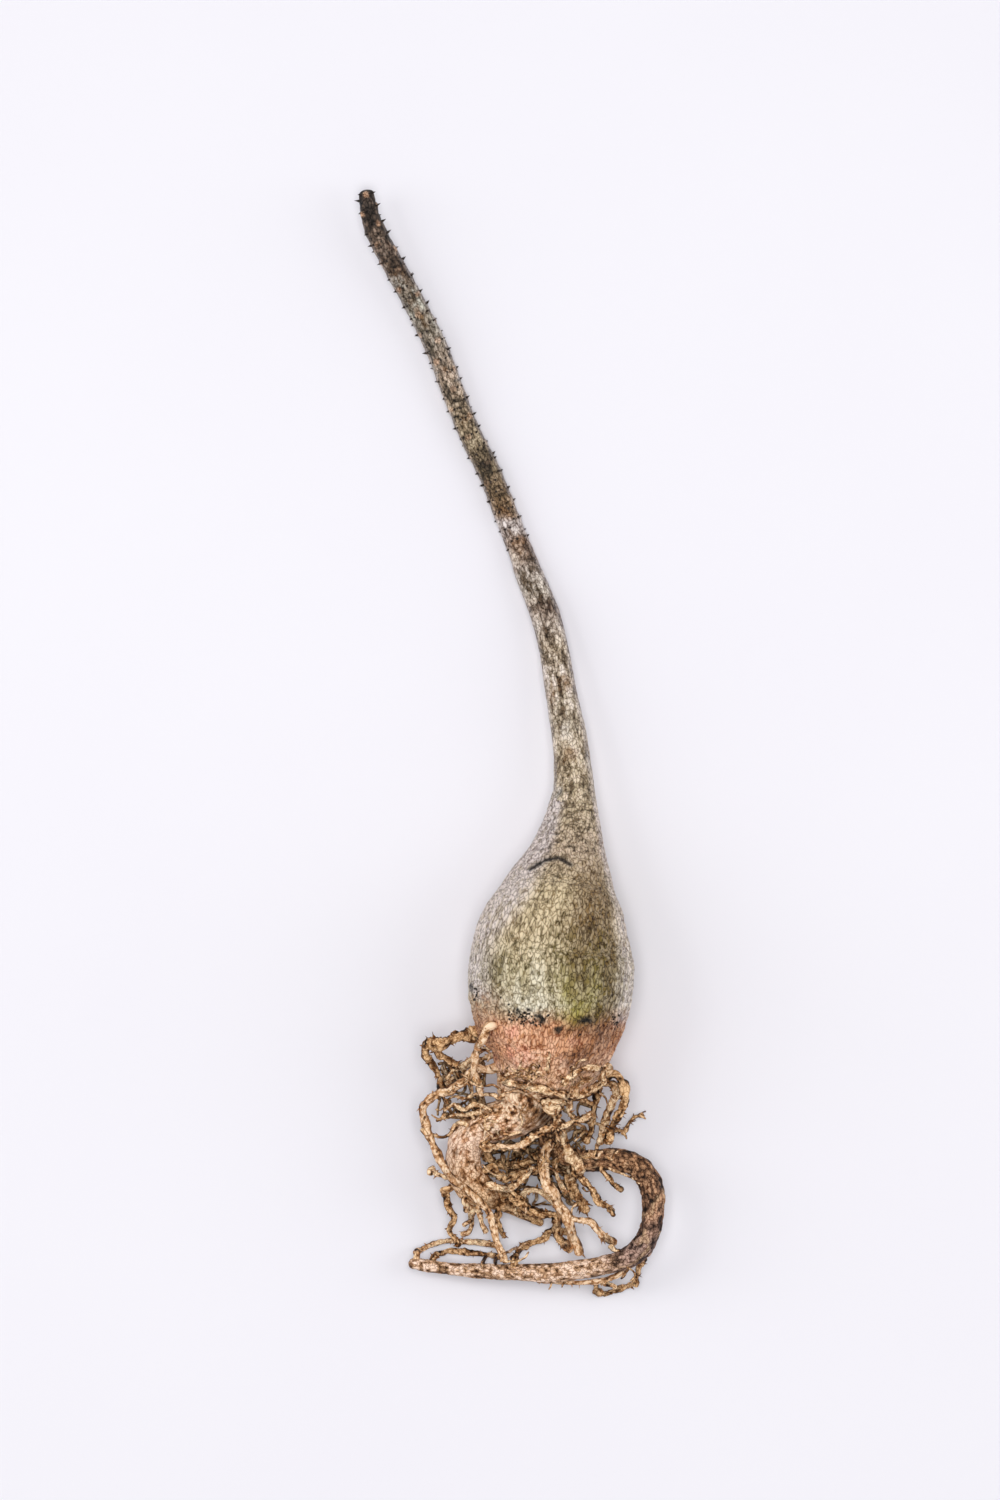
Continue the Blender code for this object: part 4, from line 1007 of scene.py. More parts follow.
def caudex_skin(limb):
    """Relief and colour of the caudex: pitted, finely wrinkled skin, mossy and stained where soil stood, with a
    painted highlight along its top and painted reflection greying its flanks.
    """
    x, y = limb.base[..., 0], limb.base[..., 1]
    upper = ease(-0.3, 0.3, limb.out[..., 2])
    lower = ease(-38, -66, y)
    right = ease(0.05, 0.85, limb.side)
    bare = ease(1.5, -2.5, y - np.interp(x + 2 * noise(limb.base, 5, 5), *np.transpose(SOIL_LINE)))
    lumps = rough(limb.base, 15, 11)
    wrinkles = noise(limb.grain(4.5), 1.25, 21) + 0.55 * noise(limb.grain(3), 0.7, 22)
    pits = noise(limb.grain(1.9), 0.85, 31) + 0.7 * noise(limb.grain(1.4), 0.55, 32)
    lines = 1 - ease(0.03, 0.2, np.abs(noise(limb.grain(3.2) + 0.5 * wrinkles[..., None], 1.7, 24)))
    wrinkled = (0.15 + 0.85 * lower) * (0.35 + 0.9 * right) * (1 - 0.7 * bare)
    pitted = 1 - 0.35 * lower * right
    crease = np.exp(-((line_distance(x, y, NECK_CREASE) / 0.6) ** 2)) * upper
    dents = ease(0.05, 0.5, pits)
    relief = 0.3 * lumps + 0.16 * wrinkled * wrinkles - 0.2 * pitted * dents - 0.4 * crease
    relief -= 0.22 * (0.25 + 0.75 * wrinkled) * lines
    relief += 0.25 * bare * noise(limb.grain(1.4), 2.1, 33)

    mottle = 0.5 * rough(limb.base, 6, 41) + 0.7 * wrinkled * wrinkles - 0.75 * pitted * dents
    mottle -= (0.35 + 1.1 * wrinkled) * lines * (1 - bare)
    neck = ease(-34, -22, y)
    rings = 1 - ease(0.03, 0.2, np.abs(noise(limb.grain(0.3), 3.4, 34)))
    mottle += 0.3 - 0.9 * neck * rings + 0.6 * neck * rough(limb.grain(0.8), 5, 35)
    relief -= 0.12 * neck * rings + 0.5 * ease(0.0, -0.6, pits) + 0.6 * bare * rough(limb.grain(1.5), 1.6, 42)
    tint = three_tones(bark_shades(BARK, y), mottle)
    bulb = ease(-28, -46, y) * (1 - bare)
    shaded = bulb * ease(0.15, 0.5, limb.side) * ease(0.95, 0.8, limb.side)
    tint = stained(tint, "#634722", 0.62 * shaded * (0.8 + 0.5 * dents + 0.5 * lines))
    olive = spot(limb, -6, -67, 5, 9) + 0.7 * spot(limb, 17, -60, 9, 8) + 0.3 * spot(limb, 5, -60, 8, 4)
    olive += 1.2 * spot(limb, 27, -67, 5, 15)
    ochre = ease(-30, -40, y) * ease(-72, -56, y) * ease(0.1, 0.5, limb.side) * ease(0.95, 0.75, limb.side)
    tint = stained(tint, "#8a6a3c", 0.3 * ochre * (0.8 + 0.5 * dents + 0.4 * lines))
    tint = stained(tint, "#665522", 0.7 * olive * (1 - bare) * (0.45 + 0.75 * dents))
    moss = spot(limb, 20, -79, 4.5, 5) + 0.6 * spot(limb, 16.5, -72, 3, 8) + 0.5 * spot(limb, 24, -72, 3, 8)
    tint = stained(tint, "#aca345", 0.7 * moss * (1 - 0.6 * bare) * (0.75 + 0.3 * wrinkles))
    streaks = ease(-0.15, 0.5, noise(limb.grain(6), 2.4, 51))
    cream = spot(limb, 6, -69, 7, 7) * streaks + 0.8 * spot(limb, 5, -76.5, 10, 3)
    tint = stained(tint, "#e6dfcb", 0.95 * cream * (1 - bare) * ease(1, -0.2, pits))
    blush = ease(-0.1, 0.5, rough(limb.base, 5, 52)) * ease(-10, -2, x) * ease(24, 15, x) * ease(-99, -93, y)
    tint = stained(tint, "#e8937f", 0.4 * bare * blush * (1 - 0.5 * dents))
    # Pale worn patches of the skin itself, near the crown.
    wear_and_top_light = ease(-89, -95, y) * ease(-0.1, 0.5, noise(limb.grain(1.6), 1.5, 63))
    tint = stained(tint, "#edc6aa", 0.5 * wear_and_top_light * (1 - 0.5 * dents))
    # Painted highlight: the middle of the bulb's upper side is stained paler, where the light from above falls
    # most.
    middle = ease(-34, -46, y) * ease(-72, -62, y) * np.exp(-(((limb.side - 0.02) / 0.3) ** 2))
    tint = stained(tint, "#d8c7a6", 0.4 * middle * (1 - dents) * (1 - bare))
    rust = spot(limb, -8, -76, 5, 4) + spot(limb, -12, -81, 5, 6) + 0.7 * spot(limb, -8, -89, 5, 8)
    tint = stained(tint, "#a5764f", 0.6 * rust * (0.8 + 0.5 * pits))
    brown = spot(limb, 27, -88, 7, 6) + spot(limb, 20, -93, 5, 4) + 0.7 * spot(limb, 24, -84, 9, 2.5)
    tint = stained(tint, "#7d4f2b", 0.75 * brown * (0.8 + 0.5 * pits))
    # Painted reflection: the flanks, where the white surroundings would mirror at a grazing angle, are stained
    # pale grey.
    edge = -0.15 - 0.35 * ease(-42, -62, y)
    painted_flank_sheen = 0.75 * ease(0, -0.4, limb.side - edge) + 0.6 * ease(0.84, 0.97, limb.side)
    tint = stained(tint, "#ddd3d2", painted_flank_sheen * (1 - bare) * (1 - 0.6 * dents))
    ragged = y + 2.6 * noise(limb.base, 3.4, 61) + 1.2 * noise(limb.base, 1.3, 64)
    black = np.exp(-((line_distance(x, ragged, SOIL_LINE) / 1.5) ** 2)) * upper
    black *= 0.3 + 0.7 * ease(-4, -1, x) * ease(17, 14, x) + 0.6 * spot(limb, -12, -71.5, 2, 2)
    crumbs = black * ease(0.0, 0.3, rough(limb.base, 2.0, 62)) + 1.2 * spot(limb, 22.4, -81.6, 2.4, 1, 0.5)
    tint = stained(tint, "#1c160f", crumbs)
    tint = stained(tint, "#2a211b", 1.1 * crease)
    return relief + 0.25 * np.clip(crumbs, 0, 1), tint


def leaf_scars():
    """Scars in a spiral, a golden angle apart: how far down from the tip, which way round, how strong."""
    golden = math.pi * (3 - math.sqrt(5))
    return [
        (FIRST_SCAR + SCAR_SPACING * k, golden * k % (2 * math.pi), SCAR_FADING**k) for k in range(SCAR_COUNT)
    ]


def stem_skin(limb):
    """Relief and colour of the stem: a pale-hearted cushion at each leaf scar, on cracked, patchy bark, with
    painted reflection greying its flanks.
    """
    y = limb.base[..., 1]
    cushion = np.zeros(limb.side.shape)
    heart = np.zeros_like(cushion)
    rim = np.zeros_like(cushion)
    for down, turn, strength in leaf_scars():
        rows = np.abs(limb.run[:, 0] - down) < 4
        along = (limb.run[rows] - down) / 1.2
        round_it = (limb.turn - turn + math.pi) % (2 * math.pi) - math.pi
        reach = np.hypot(along, round_it * limb.radius[rows] / 1.5)
        cushion[rows] = np.maximum(cushion[rows], strength * np.exp(-(reach**2)))
        heart[rows] = np.maximum(heart[rows], strength * ease(0.85, 0.6, reach))
        rim[rows] = np.maximum(rim[rows], strength * np.exp(-(((reach - 1.05) / 0.25) ** 2)))
    old = ease(120, 20, y)
    cracks = 1 - ease(0.02, 0.16, np.abs(noise(limb.grain(5), 2.0, 101)))
    rings = 1 - ease(0.03, 0.2, np.abs(noise(limb.grain(0.45), 2.3, 105)))
    flakes = rough(limb.grain(1.6), 2.6, 111)
    grit = noise(limb.grain(1.6), 0.7, 121)
    relief = 0.42 * cushion * (1 - 0.6 * old) + 0.14 * flakes + 0.09 * grit
    relief -= 0.14 * cracks * old + 0.12 * rings * (1 - 0.5 * old) + 0.1 * rim

    mottle = 1.9 * flakes + 1.1 * grit - 0.9 * cracks * (0.4 + 0.5 * old)
    mottle -= 0.8 * rings * (1 - 0.6 * old)
    mottle += 0.15
    tint = three_tones(bark_shades(BARK, y), mottle)
    young = ease(60, 95, y)
    tint = stained(tint, "#2c221b", 0.7 * young * rim)
    tint = stained(tint, "#d2ab8c", 0.85 * young * heart * (0.8 + 0.5 * grit))
    chalk = ease(0.16, 0.5, rough(limb.grain(1.4), 7, 131)) * ease(150, 138, y)
    tint = stained(tint, "#cfcac2", 0.55 * chalk * (0.8 + 0.4 * grit))
    rust = ease(0.2, 0.55, rough(limb.grain(1.2), 4.5, 141)) * ease(150, 140, y)
    tint = stained(tint, "#8a6238", 0.45 * rust)
    dark = ease(0.25, 0.5, rough(limb.grain(1.2), 3.2, 151)) * ease(60, 90, y)
    tint = stained(tint, "#33281f", 0.6 * dark)
    # Painted reflection: the stem's flanks are stained grey, as the white surroundings would mirror on them at
    # a grazing angle.
    painted_flank_sheen = ease(0.7, 0.97, np.abs(limb.side)) * ease(165, 140, y)
    tint = stained(tint, "#bdb5b3", 0.45 * painted_flank_sheen)
    return relief, tint


def taproot_skin(limb):
    """Relief and colour of the knob and the taproot: twisted ridges, knots and flakes of brown bark, with
    painted light on its top and a painted shadow under the knob.
    """
    twisted = limb.grain(3.5)
    twist = 0.09 * limb.run
    turned = np.stack([
        twisted[..., 0] * np.cos(twist) - twisted[..., 2] * np.sin(twist),
        twisted[..., 1],
        twisted[..., 0] * np.sin(twist) + twisted[..., 2] * np.cos(twist),
    ], axis=-1)
    ridges = noise(turned, 2.6, 201)
    knots = rough(limb.base, 4.5, 211)
    grit = noise(limb.grain(1.5), 0.8, 221)
    relief = 0.45 * ridges + 0.7 * knots + 0.13 * grit
    # Painted light: the mottle rises where the skin faces up, so the top is drawn lighter than the sides.
    mottle = 1.2 * ridges + 1.3 * knots + 2.0 * grit + 0.8 * ease(-0.1, 0.8, limb.out[..., 2]) - 0.15
    tint = three_tones(bark_shades(BARK, limb.base[..., 1]), mottle)
    # Painted shadow: a dark patch under the knob's lower right, where it shades what lies beneath.
    under = spot(limb, 10.5, -110.5, 5, 3.5)
    tint = stained(tint, "#3d2413", 0.75 * under)
    scurf = ease(0.1, 0.45, rough(limb.base, 3.2, 231))
    tint = stained(tint, "#6b4a30", 0.45 * scurf)
    return relief, tint


def hook_skin(limb):
    """Relief and colour of the hooked root: knotty, ringed, flecked bark, smoother along its thin arm, with
    painted light making its top lighter.
    """
    arm = ease(36, 24, limb.base[..., 0]) * ease(-148, -155, limb.base[..., 1])
    knots = rough(limb.base, 5, 301)
    ridges = noise(limb.grain(3), 1.7, 311)
    rings = 1 - ease(0.03, 0.22, np.abs(noise(limb.grain(0.6), 2.6, 321)))
    grit = noise(limb.grain(1.4), 0.8, 331)
    relief = (1 - 0.45 * arm) * (0.6 * knots + 0.28 * ridges - 0.22 * rings + 0.14 * grit)
    # Painted light: the mottle rises where the skin faces up, so the top is drawn lighter than the sides.
    mottle = 0.1 * knots + 0.6 * ridges + 1.8 * grit - 0.35 * rings + 0.55 * ease(-0.1, 0.9, limb.out[..., 2])
    mottle -= 0.25
    shades = bark_shades(HOOK_BARK, limb.base[..., 1])
    shades = [shade + (linear(tone) - shade) * arm[..., None] for shade, tone in zip(shades, ARM_BARK)]
    tint = three_tones(shades, mottle)
    flecks = ease(0.42, 0.62, noise(limb.grain(1.6), 1.5, 341))
    tint = stained(tint, "#cdab86", 0.5 * flecks * (1 - arm))
    pits = ease(0.3, 0.6, noise(limb.grain(1.3), 1.1, 351))
    return relief, stained(tint, "#2f2018", 0.25 * pits * (1 - 0.6 * arm))


def root_skin(limb, tone, seed):
    """Relief and colour of a side root: it swells and narrows, with fine ridges and a knot here and there, and
    painted light makes its top lighter and its sides darker.
    """
    rugged = {"pale": 0.55, "tan": 1.0, "dark": 1.25}[tone]
    radius = np.maximum(limb.radius, 0.2)
    knots = rough(limb.base + 37 * seed, 2.6, seed + 401)
    ridges = noise(limb.grain(4) + 19 * seed, 0.9, seed + 411)
    rings = 1 - ease(0.03, 0.25, np.abs(noise(limb.grain(0.5) + 19 * seed, 1.7, seed + 421)))
    grit = noise(limb.grain(1.5) + 19 * seed, 0.55, seed + 431)
    joints = ease(0.2, 0.55, noise(limb.base + 53 * seed, 3.1, seed + 451))
    relief = rugged * radius * (0.45 * knots + 0.16 * ridges - 0.12 * rings + 0.14 * grit + 0.35 * joints)
    # Painted light: the root's top is drawn lighter and its sides and underside darker, as light from above
    # would leave them.
    wear_and_top_light = ease(-0.15, 0.85, limb.out[..., 2])
    mottle = 1.2 * knots + 1.1 * ridges + 1.6 * grit - 0.7 * rings + 1.9 * wear_and_top_light - 1.1
    shades = [linear(colour) * np.ones((*relief.shape, 1)) for colour in SKINS[tone]]
    tint = three_tones(shades, mottle)
    scurf = ease(0.2, 0.5, rough(limb.base + 11 * seed, 3.4, seed + 441))
    tint = stained(tint, "#4a311f", (0.25 if tone == "pale" else 0.5) * scurf)
    return relief, tint


def wandering(rows, seed):
    """The rows with the small random bends of a root that grew round grains of soil."""
    centres = rows[:, :3] + 60 * seed
    amount = 0.38 * ease(0, 3, np.arange(len(rows)) * FINE_STEP)[:, None]
    bends = np.stack([noise(centres, 3.2, seed + k) for k in (501, 502, 503)], axis=-1)
    return np.column_stack([rows[:, :3] + amount * bends, rows[:, 3]])


def node(tree, kind, settings, **links):
    """Adds a node. A setting is a property or the value of an input, and a link is the socket feeding one."""
    made = tree.nodes.new(kind)
    for key, value in settings.items():
        if isinstance(key, str) and hasattr(made, key):
            setattr(made, key, value)
        else:
            made.inputs[key].default_value = value
    for key, socket in links.items():
        tree.links.new(socket, made.inputs[int(key) if key.isdigit() else key])
    return made


def plant_material(name, grain_mm, cell_mm, stretch, contrast, roughness, bump_mm, sheen):
    """Dry plant skin: pits and a net of fine cracks darken its hollows and make them duller.

    The shade is 1 on raised skin and falls to 0 in pits, where the noise is low, and near the cells' edges.
    The colour goes from 1.3 (1 - contrast) tint^2 in hollows to (1 + contrast / 2) tint on raised skin.
    """
    made = bpy.data.materials.new(name)
    made.use_nodes = True
    tree = made.node_tree
    shader = tree.nodes["Principled BSDF"]
    shader.inputs["Sheen Weight"].default_value = sheen
    shader.inputs["Sheen Roughness"].default_value = 0.6
    shader.inputs["Specular IOR Level"].default_value = 0.18
    tint = node(tree, "ShaderNodeAttribute", {"attribute_name": "tint"}).outputs["Color"]
    grain = node(tree, "ShaderNodeAttribute", {"attribute_name": "grain"}).outputs["Vector"]
    drawn = node(
        tree, "ShaderNodeVectorMath", {"operation": "MULTIPLY", 1: (1, 1 / stretch, 1)}, **{"0": grain},
    )
    along = drawn.outputs["Vector"]
    pits = node(tree, "ShaderNodeTexNoise", {"Scale": 1 / (grain_mm * MM), "Detail": 2.0}, Vector=along)
    grit = node(tree, "ShaderNodeTexNoise", {"Scale": 2.6 / (grain_mm * MM), "Detail": 3.0}, Vector=along)
    bent = node(
        tree, "ShaderNodeVectorMath", {"operation": "MULTIPLY_ADD", 1: (0.8 * MM, 0.8 * MM, 0.8 * MM)},
        **{"0": pits.outputs["Color"], "2": along},
    ).outputs["Vector"]
    cells = node(
        tree, "ShaderNodeTexVoronoi", {"feature": "DISTANCE_TO_EDGE", "Scale": 1 / (cell_mm * MM)},
        Vector=bent,
    )
    crack = node(
        tree, "ShaderNodeMapRange", {"From Max": CRACK_WIDTH}, Value=cells.outputs["Distance"],
    ).outputs["Result"]
    rough_height = node(
        tree, "ShaderNodeMix", {"Factor": 0.35}, A=pits.outputs["Fac"], B=grit.outputs["Fac"],
    ).outputs["Result"]
    pitted = node(
        tree, "ShaderNodeMapRange", {"From Min": PIT_FLOOR, "From Max": PIT_RIM}, Value=rough_height,
    )
    shade = node(
        tree, "ShaderNodeMath", {"operation": "MULTIPLY"}, **{"0": pitted.outputs["Result"], "1": crack},
    ).outputs["Value"]
    deep = node(tree, "ShaderNodeVectorMath", {"operation": "MULTIPLY"}, **{"0": tint, "1": tint})
    hollow = node(
        tree, "ShaderNodeVectorMath", {"operation": "SCALE", "Scale": 1.3 * (1 - contrast)},
        **{"0": deep.outputs["Vector"]},
    )
    raised = node(
        tree, "ShaderNodeVectorMath", {"operation": "SCALE", "Scale": 1 + 0.5 * contrast}, **{"0": tint},
    )
    colour = node(
        tree, "ShaderNodeMix", {"data_type": "RGBA"},
        **{"0": shade, "6": hollow.outputs["Vector"], "7": raised.outputs["Vector"]},
    )
    tree.links.new(colour.outputs[2], shader.inputs["Base Color"])
    dull = node(
        tree, "ShaderNodeMapRange",
        {"To Min": roughness + ROUGHNESS_SPREAD, "To Max": roughness - ROUGHNESS_SPREAD}, Value=shade,
    )
    tree.links.new(dull.outputs["Result"], shader.inputs["Roughness"])
    bump = node(tree, "ShaderNodeBump", {"Strength": 1.0, "Distance": bump_mm * MM}, Height=shade)
    tree.links.new(bump.outputs["Normal"], shader.inputs["Normal"])
    return made


def cones(bases, directions, radii, lengths, sides=5):
    """Small pointed cones, each a ring of points and a tip, as one set of vertices and faces."""
    vertices, faces = [], []
    for base, way, radius, length in zip(bases, directions, radii, lengths):
        way = way / np.linalg.norm(way)
        across = np.cross(way, (0, 0, 1) if abs(way[2]) < STEEP else (1, 0, 0))
        across /= np.linalg.norm(across)
        square = np.cross(way, across)
        first = len(vertices)
        for k in range(sides):
            turn = 2 * math.pi * k / sides
            vertices.append(base + radius * (math.cos(turn) * across + math.sin(turn) * square))
        vertices.append(base + length * way)
        vertices.append(base - 0.3 * way)
        for k in range(sides):
            after = (k + 1) % sides
            faces.append((first + k, first + after, first + sides))
            faces.append((first + after, first + k, first + sides + 1))
    return np.array(vertices), faces


def broken_rootlets(limb, seed):
    """Stumps where finer rootlets broke off, at random but one for each STUMP_SPACING of the root."""
    draw = np.random.default_rng(1000 + seed)
    rows, sides = limb.base.shape[:2]
    count = max(2, int(limb.run[-1, 0] / STUMP_SPACING))
    row = draw.integers(6, rows - 4, count)
    column = draw.integers(0, sides, count)
    ways = limb.out[row, column] + draw.normal(0, 0.5, (count, 3))
    return cones(
        limb.base[row, column] - 0.15 * limb.out[row, column], ways,
        draw.uniform(0.15, 0.45, count), draw.uniform(0.4, 1.6, count),
    )


def frayed_tip(rows, seed):
    """The split and withered end of a root: a tuft of short points that spread from just before it."""
    draw = np.random.default_rng(2000 + seed)
    ahead = rows[-1, :3] - rows[-2, :3]
    ahead /= np.linalg.norm(ahead)
    radius = rows[-1, 3]
    count = draw.integers(6, 12)
    back = draw.uniform(0, 2.4 * radius, count)[:, None]
    spread = draw.normal(0, 1, (count, 3))
    spread -= (spread @ ahead)[:, None] * ahead
    bases = rows[-1, :3] - ahead * back + 0.5 * radius * spread / np.linalg.norm(spread, axis=1)[:, None]
    ways = ahead * draw.uniform(0.3, 1.4, count)[:, None] + 0.6 * spread
    return cones(bases, ways, radius * draw.uniform(0.25, 0.5, count), radius * draw.uniform(0.7, 2.2, count))


def crumb(place, size, seed):
    """A lump of soil: a six-pointed stone whose corners are pushed in and out."""
    corners = np.array([(1, 0, 0), (0, 1, 0), (-1, 0, 0), (0, -1, 0), (0, 0, 1), (0, 0, -1)], float)
    stretch = 0.7 + 0.6 * np.array([lattice(np.array([seed, k, 3]), 7) for k in range(6)])
    faces = [(0, 1, 4), (1, 2, 4), (2, 3, 4), (3, 0, 4), (1, 0, 5), (2, 1, 5), (3, 2, 5), (0, 3, 5)]
    turn = 6.28 * lattice(np.array([seed, 9, 1]), 8)
    spin = np.array([(math.cos(turn), -math.sin(turn), 0), (math.sin(turn), math.cos(turn), 0), (0, 0, 1)])
    return place + size * (corners * stretch[:, None]) @ spin.T, faces


def joined(shapes):
    """One set of vertices and faces from many."""
    vertices, faces, count = [], [], 0
    for points, sides in shapes:
        vertices.append(points)
        faces += [tuple(int(k) + count for k in face) for face in sides]
        count += len(points)
    return np.vstack(vertices), faces


def speckle(count, stride, seed):
    """A repeatable random number from 0 to 1 for each corner, as a column."""
    return lattice(np.arange(count)[:, None] * np.array(stride), seed)[:, None]


def body_shift():
    """What moves the plan onto the frame: the drawn body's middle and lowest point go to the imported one's."""
    drawn = np.array(tube(through(body_stations(), BODY_STEP), BODY_SIDES)[0])
    low, high = (np.array(corner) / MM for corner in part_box("caudex_and_stem"))
    middle = (low + high) / 2 - (drawn.min(axis=0) + drawn.max(axis=0)) / 2
    return np.array([middle[0], middle[1], low[2] - drawn[:, 2].min()])


def body_piece(rows, frames, first_y, last_y, every, sides, tuck):
    """The stretch of the body between two places, with its ends tucked in under its neighbours."""
    first = np.nonzero(rows[:, 1] <= first_y + tuck)[0][0]
    last = len(rows) if last_y is None else np.nonzero(rows[:, 1] <= last_y - tuck)[0][0]
    run = np.concatenate([[0], np.cumsum(np.linalg.norm(np.diff(rows[:, :3], axis=0), axis=1))])
    chosen = np.arange(first, last, every)
    part = rows[chosen].copy()
    hidden = np.zeros(len(part))
    if first > 0:
        hidden = np.maximum(hidden, ease(first_y, first_y + tuck, part[:, 1]))
    if last_y is not None:
        hidden = np.maximum(hidden, ease(last_y, last_y - tuck, part[:, 1]))
    part[:, 3] *= 1 - 0.12 * hidden
    chosen_frames = [each[chosen] for each in frames]
    return Limb(part, sides, frames=chosen_frames, start_run=run[chosen[0]], end_length=0.5)


def settled_roots():
    """The hooked root's rows, then the side roots' names, tones, parents and rows of X, Y, Z and radius."""
    body = tube(through(body_stations(), BODY_STEP), BODY_SIDES)
    trees = {"caudex": BVHTree.FromPolygons(*body)}
    hook_route = [(x, y, CAUDEX_RADIUS + height, share * HOOK_RADIUS) for x, y, height, share in HOOK]
    start, out = start_on(trees["caudex"], hook_route[0][:3], HOOK_RADIUS)
    thickness = hook_route[0][3]
    hook_route[:1] = [(*start, thickness), (*out, thickness)]
    hook_rows = through(hook_route, HOOK_STEP)
    trees["hook"] = BVHTree.FromPolygons(*tube(hook_rows, HOOK_SIDES, out - start))
    names, owners, parents, tones, strands = [], [], [], [], []
    for number, (name, parent, tone, radius, tip_share, route) in enumerate(ROOTS):
        placed_route = with_heights(route, radius)
        start, out = start_on(trees[parent], placed_route[0], radius)
        for tree in trees.values():
            placed_route[1:] = [moved_clear(tree, place, radius, CAUDEX_RADIUS) for place in placed_route[1:]]
        names.append(name)
        owners.append(number)
        parents.append(parent)
        tones.append(tone)
        strands.append(strand([start, out, *placed_route[1:]], radius, tip_share, number))
    ties = []
    for number, (root, radius, tip_share, route) in enumerate(BRANCHES):
        parent = names.index(root)
        placed_route = with_heights(route, radius)
        nearest = int(np.linalg.norm(strands[parent][:, :3] - placed_route[0], axis=1).argmin())
        placed_route[0] = tuple(strands[parent][nearest, :3])
        ties.append((len(strands), parent, nearest))
        names.append(f"{root}_branch_{number + 1}")
        owners.append(owners[parent])
        parents.append(None)
        tones.append(tones[parent])
        strands.append(strand(placed_route, radius, tip_share, number))
    settled = settle(strands, owners, parents, ties, trees)
    return hook_rows, names, tones, parents, settled


def rooted(rows, depth):
    """The rows carried on backwards into what the root grows from."""
    back = rows[0] - rows[1]
    back[3] = 0
    step = np.linalg.norm(back[:3])
    return np.vstack([rows[0] + back / step * depth, rows])


SHIFT = body_shift()
# Caudex skin: thin, alive and finely pitted, matt with a faint sheen where the light grazes it.
BARK_SKIN = plant_material(
    "caudex_skin_pitted", grain_mm=0.8, cell_mm=1.15, stretch=1.7, contrast=0.5, roughness=0.62, bump_mm=0.12,
    sheen=0.1,
)
# Stem bark: dry and scarred, a little rougher, and drawn out along the stem.
STEM_SKIN = plant_material(
    "stem_bark_scarred", grain_mm=0.8, cell_mm=1.0, stretch=1.5, contrast=0.55, roughness=0.66, bump_mm=0.12,
    sheen=0.05,
)
# Taproot bark: flaking in small pieces, so its cracks run nearly as much across it as along it.
TAP_SKIN = plant_material(
    "taproot_bark_flaking", grain_mm=0.7, cell_mm=1.0, stretch=1.3, contrast=0.5, roughness=0.66,
    bump_mm=0.12, sheen=0.0,
)
# Hooked root bark: corky and dull, with dark cracks.
HOOK_SKIN = plant_material(
    "hooked_root_bark", grain_mm=0.7, cell_mm=1.0, stretch=1.5, contrast=0.55, roughness=0.66, bump_mm=0.12,
    sheen=0.0,
)
# Side roots: young ones are smooth and pale, older ones corky, and dead ones dark and rough.
ROOT_SKINS = {
    "pale": plant_material(
        "pale_root_skin", grain_mm=0.7, cell_mm=1.3, stretch=1.8, contrast=0.35, roughness=0.6, bump_mm=0.06,
        sheen=0.0,
    ),
    "tan": plant_material(
        "tan_root_bark", grain_mm=0.6, cell_mm=0.9, stretch=1.5, contrast=0.5, roughness=0.64, bump_mm=0.1,
        sheen=0.0,
    ),
    "dark": plant_material(
        "dark_root_bark", grain_mm=0.6, cell_mm=0.9, stretch=1.5, contrast=0.5, roughness=0.68, bump_mm=0.1,
        sheen=0.0,
    ),
}

built = []


def add_piece(name, shape, material, slot, replaced=None):
    """Places the shape and remembers it, so that thin bits can be laid on it."""
    vertices, faces, colours, grains = shape
    built.append((vertices, faces))
    return placed(name, vertices, faces, colours, grains, material, slot, replaced)


body_rows = through(body_stations(), SKIN_STEP)
body_frames = ring_frames(body_rows[:, :3], None)
stem = body_piece(body_rows, body_frames, BEYOND_TIP, NECK_SEAM, 2, 100, TUCK)
add_piece("stem", skin(stem, *stem_skin(stem)), STEM_SKIN, "caudex_bark")
caudex = body_piece(body_rows, body_frames, NECK_SEAM, CROWN_SEAM, 1, 320, TUCK)
add_piece("caudex", skin(caudex, *caudex_skin(caudex)), BARK_SKIN, "caudex_bark", "caudex_and_stem")
taproot = body_piece(body_rows, body_frames, CROWN_SEAM, None, 1, 110, TUCK)
add_piece("taproot", skin(taproot, *taproot_skin(taproot)), TAP_SKIN, "caudex_bark")

hook_rows, names, tones, parents, settled = settled_roots()
hook = Limb(through(rooted(hook_rows, 2.5), FINE_STEP), 56)
add_piece("hook", skin(hook, *hook_skin(hook)), HOOK_SKIN, "hook_bark", "hooked_root")

broken = {"pale": [], "tan": [], "dark": []}
for number, (name, tone, parent, rows) in enumerate(zip(names, tones, parents, settled)):
    depth = 1.6 if parent else 0.3
    limb = Limb(wandering(through(rooted(rows, depth), FINE_STEP), number), 20)
    shape = skin(limb, *root_skin(limb, tone, number))
    broken[tone].append(broken_rootlets(limb, number))
    replaced = name if parent else None
    add_piece(f"{name}_skin", shape, ROOT_SKINS[tone], SLOTS[tone], replaced)

for number, (tone, rows) in enumerate(zip(tones, settled)):
    broken[tone].append(frayed_tip(rows, number))

for tone, shapes in broken.items():
    vertices, faces = joined(shapes)
    shade = 0.6 + 0.7 * speckle(len(vertices), (3, 1, 2), 6)
    placed(
        f"{tone}_broken_rootlets", vertices, faces, linear(SKINS[tone][1]) * shade, vertices,
        ROOT_SKINS[tone], SLOTS[tone],
    )

shown = BVHTree.FromPolygons(*joined(built))


def top_at(x, y):
    """The highest place of the skins at this X and Y, or nothing beside the plant."""
    return shown.ray_cast(Vector((x, y, ABOVE_ALL)), Vector((0, 0, -1)))[0]


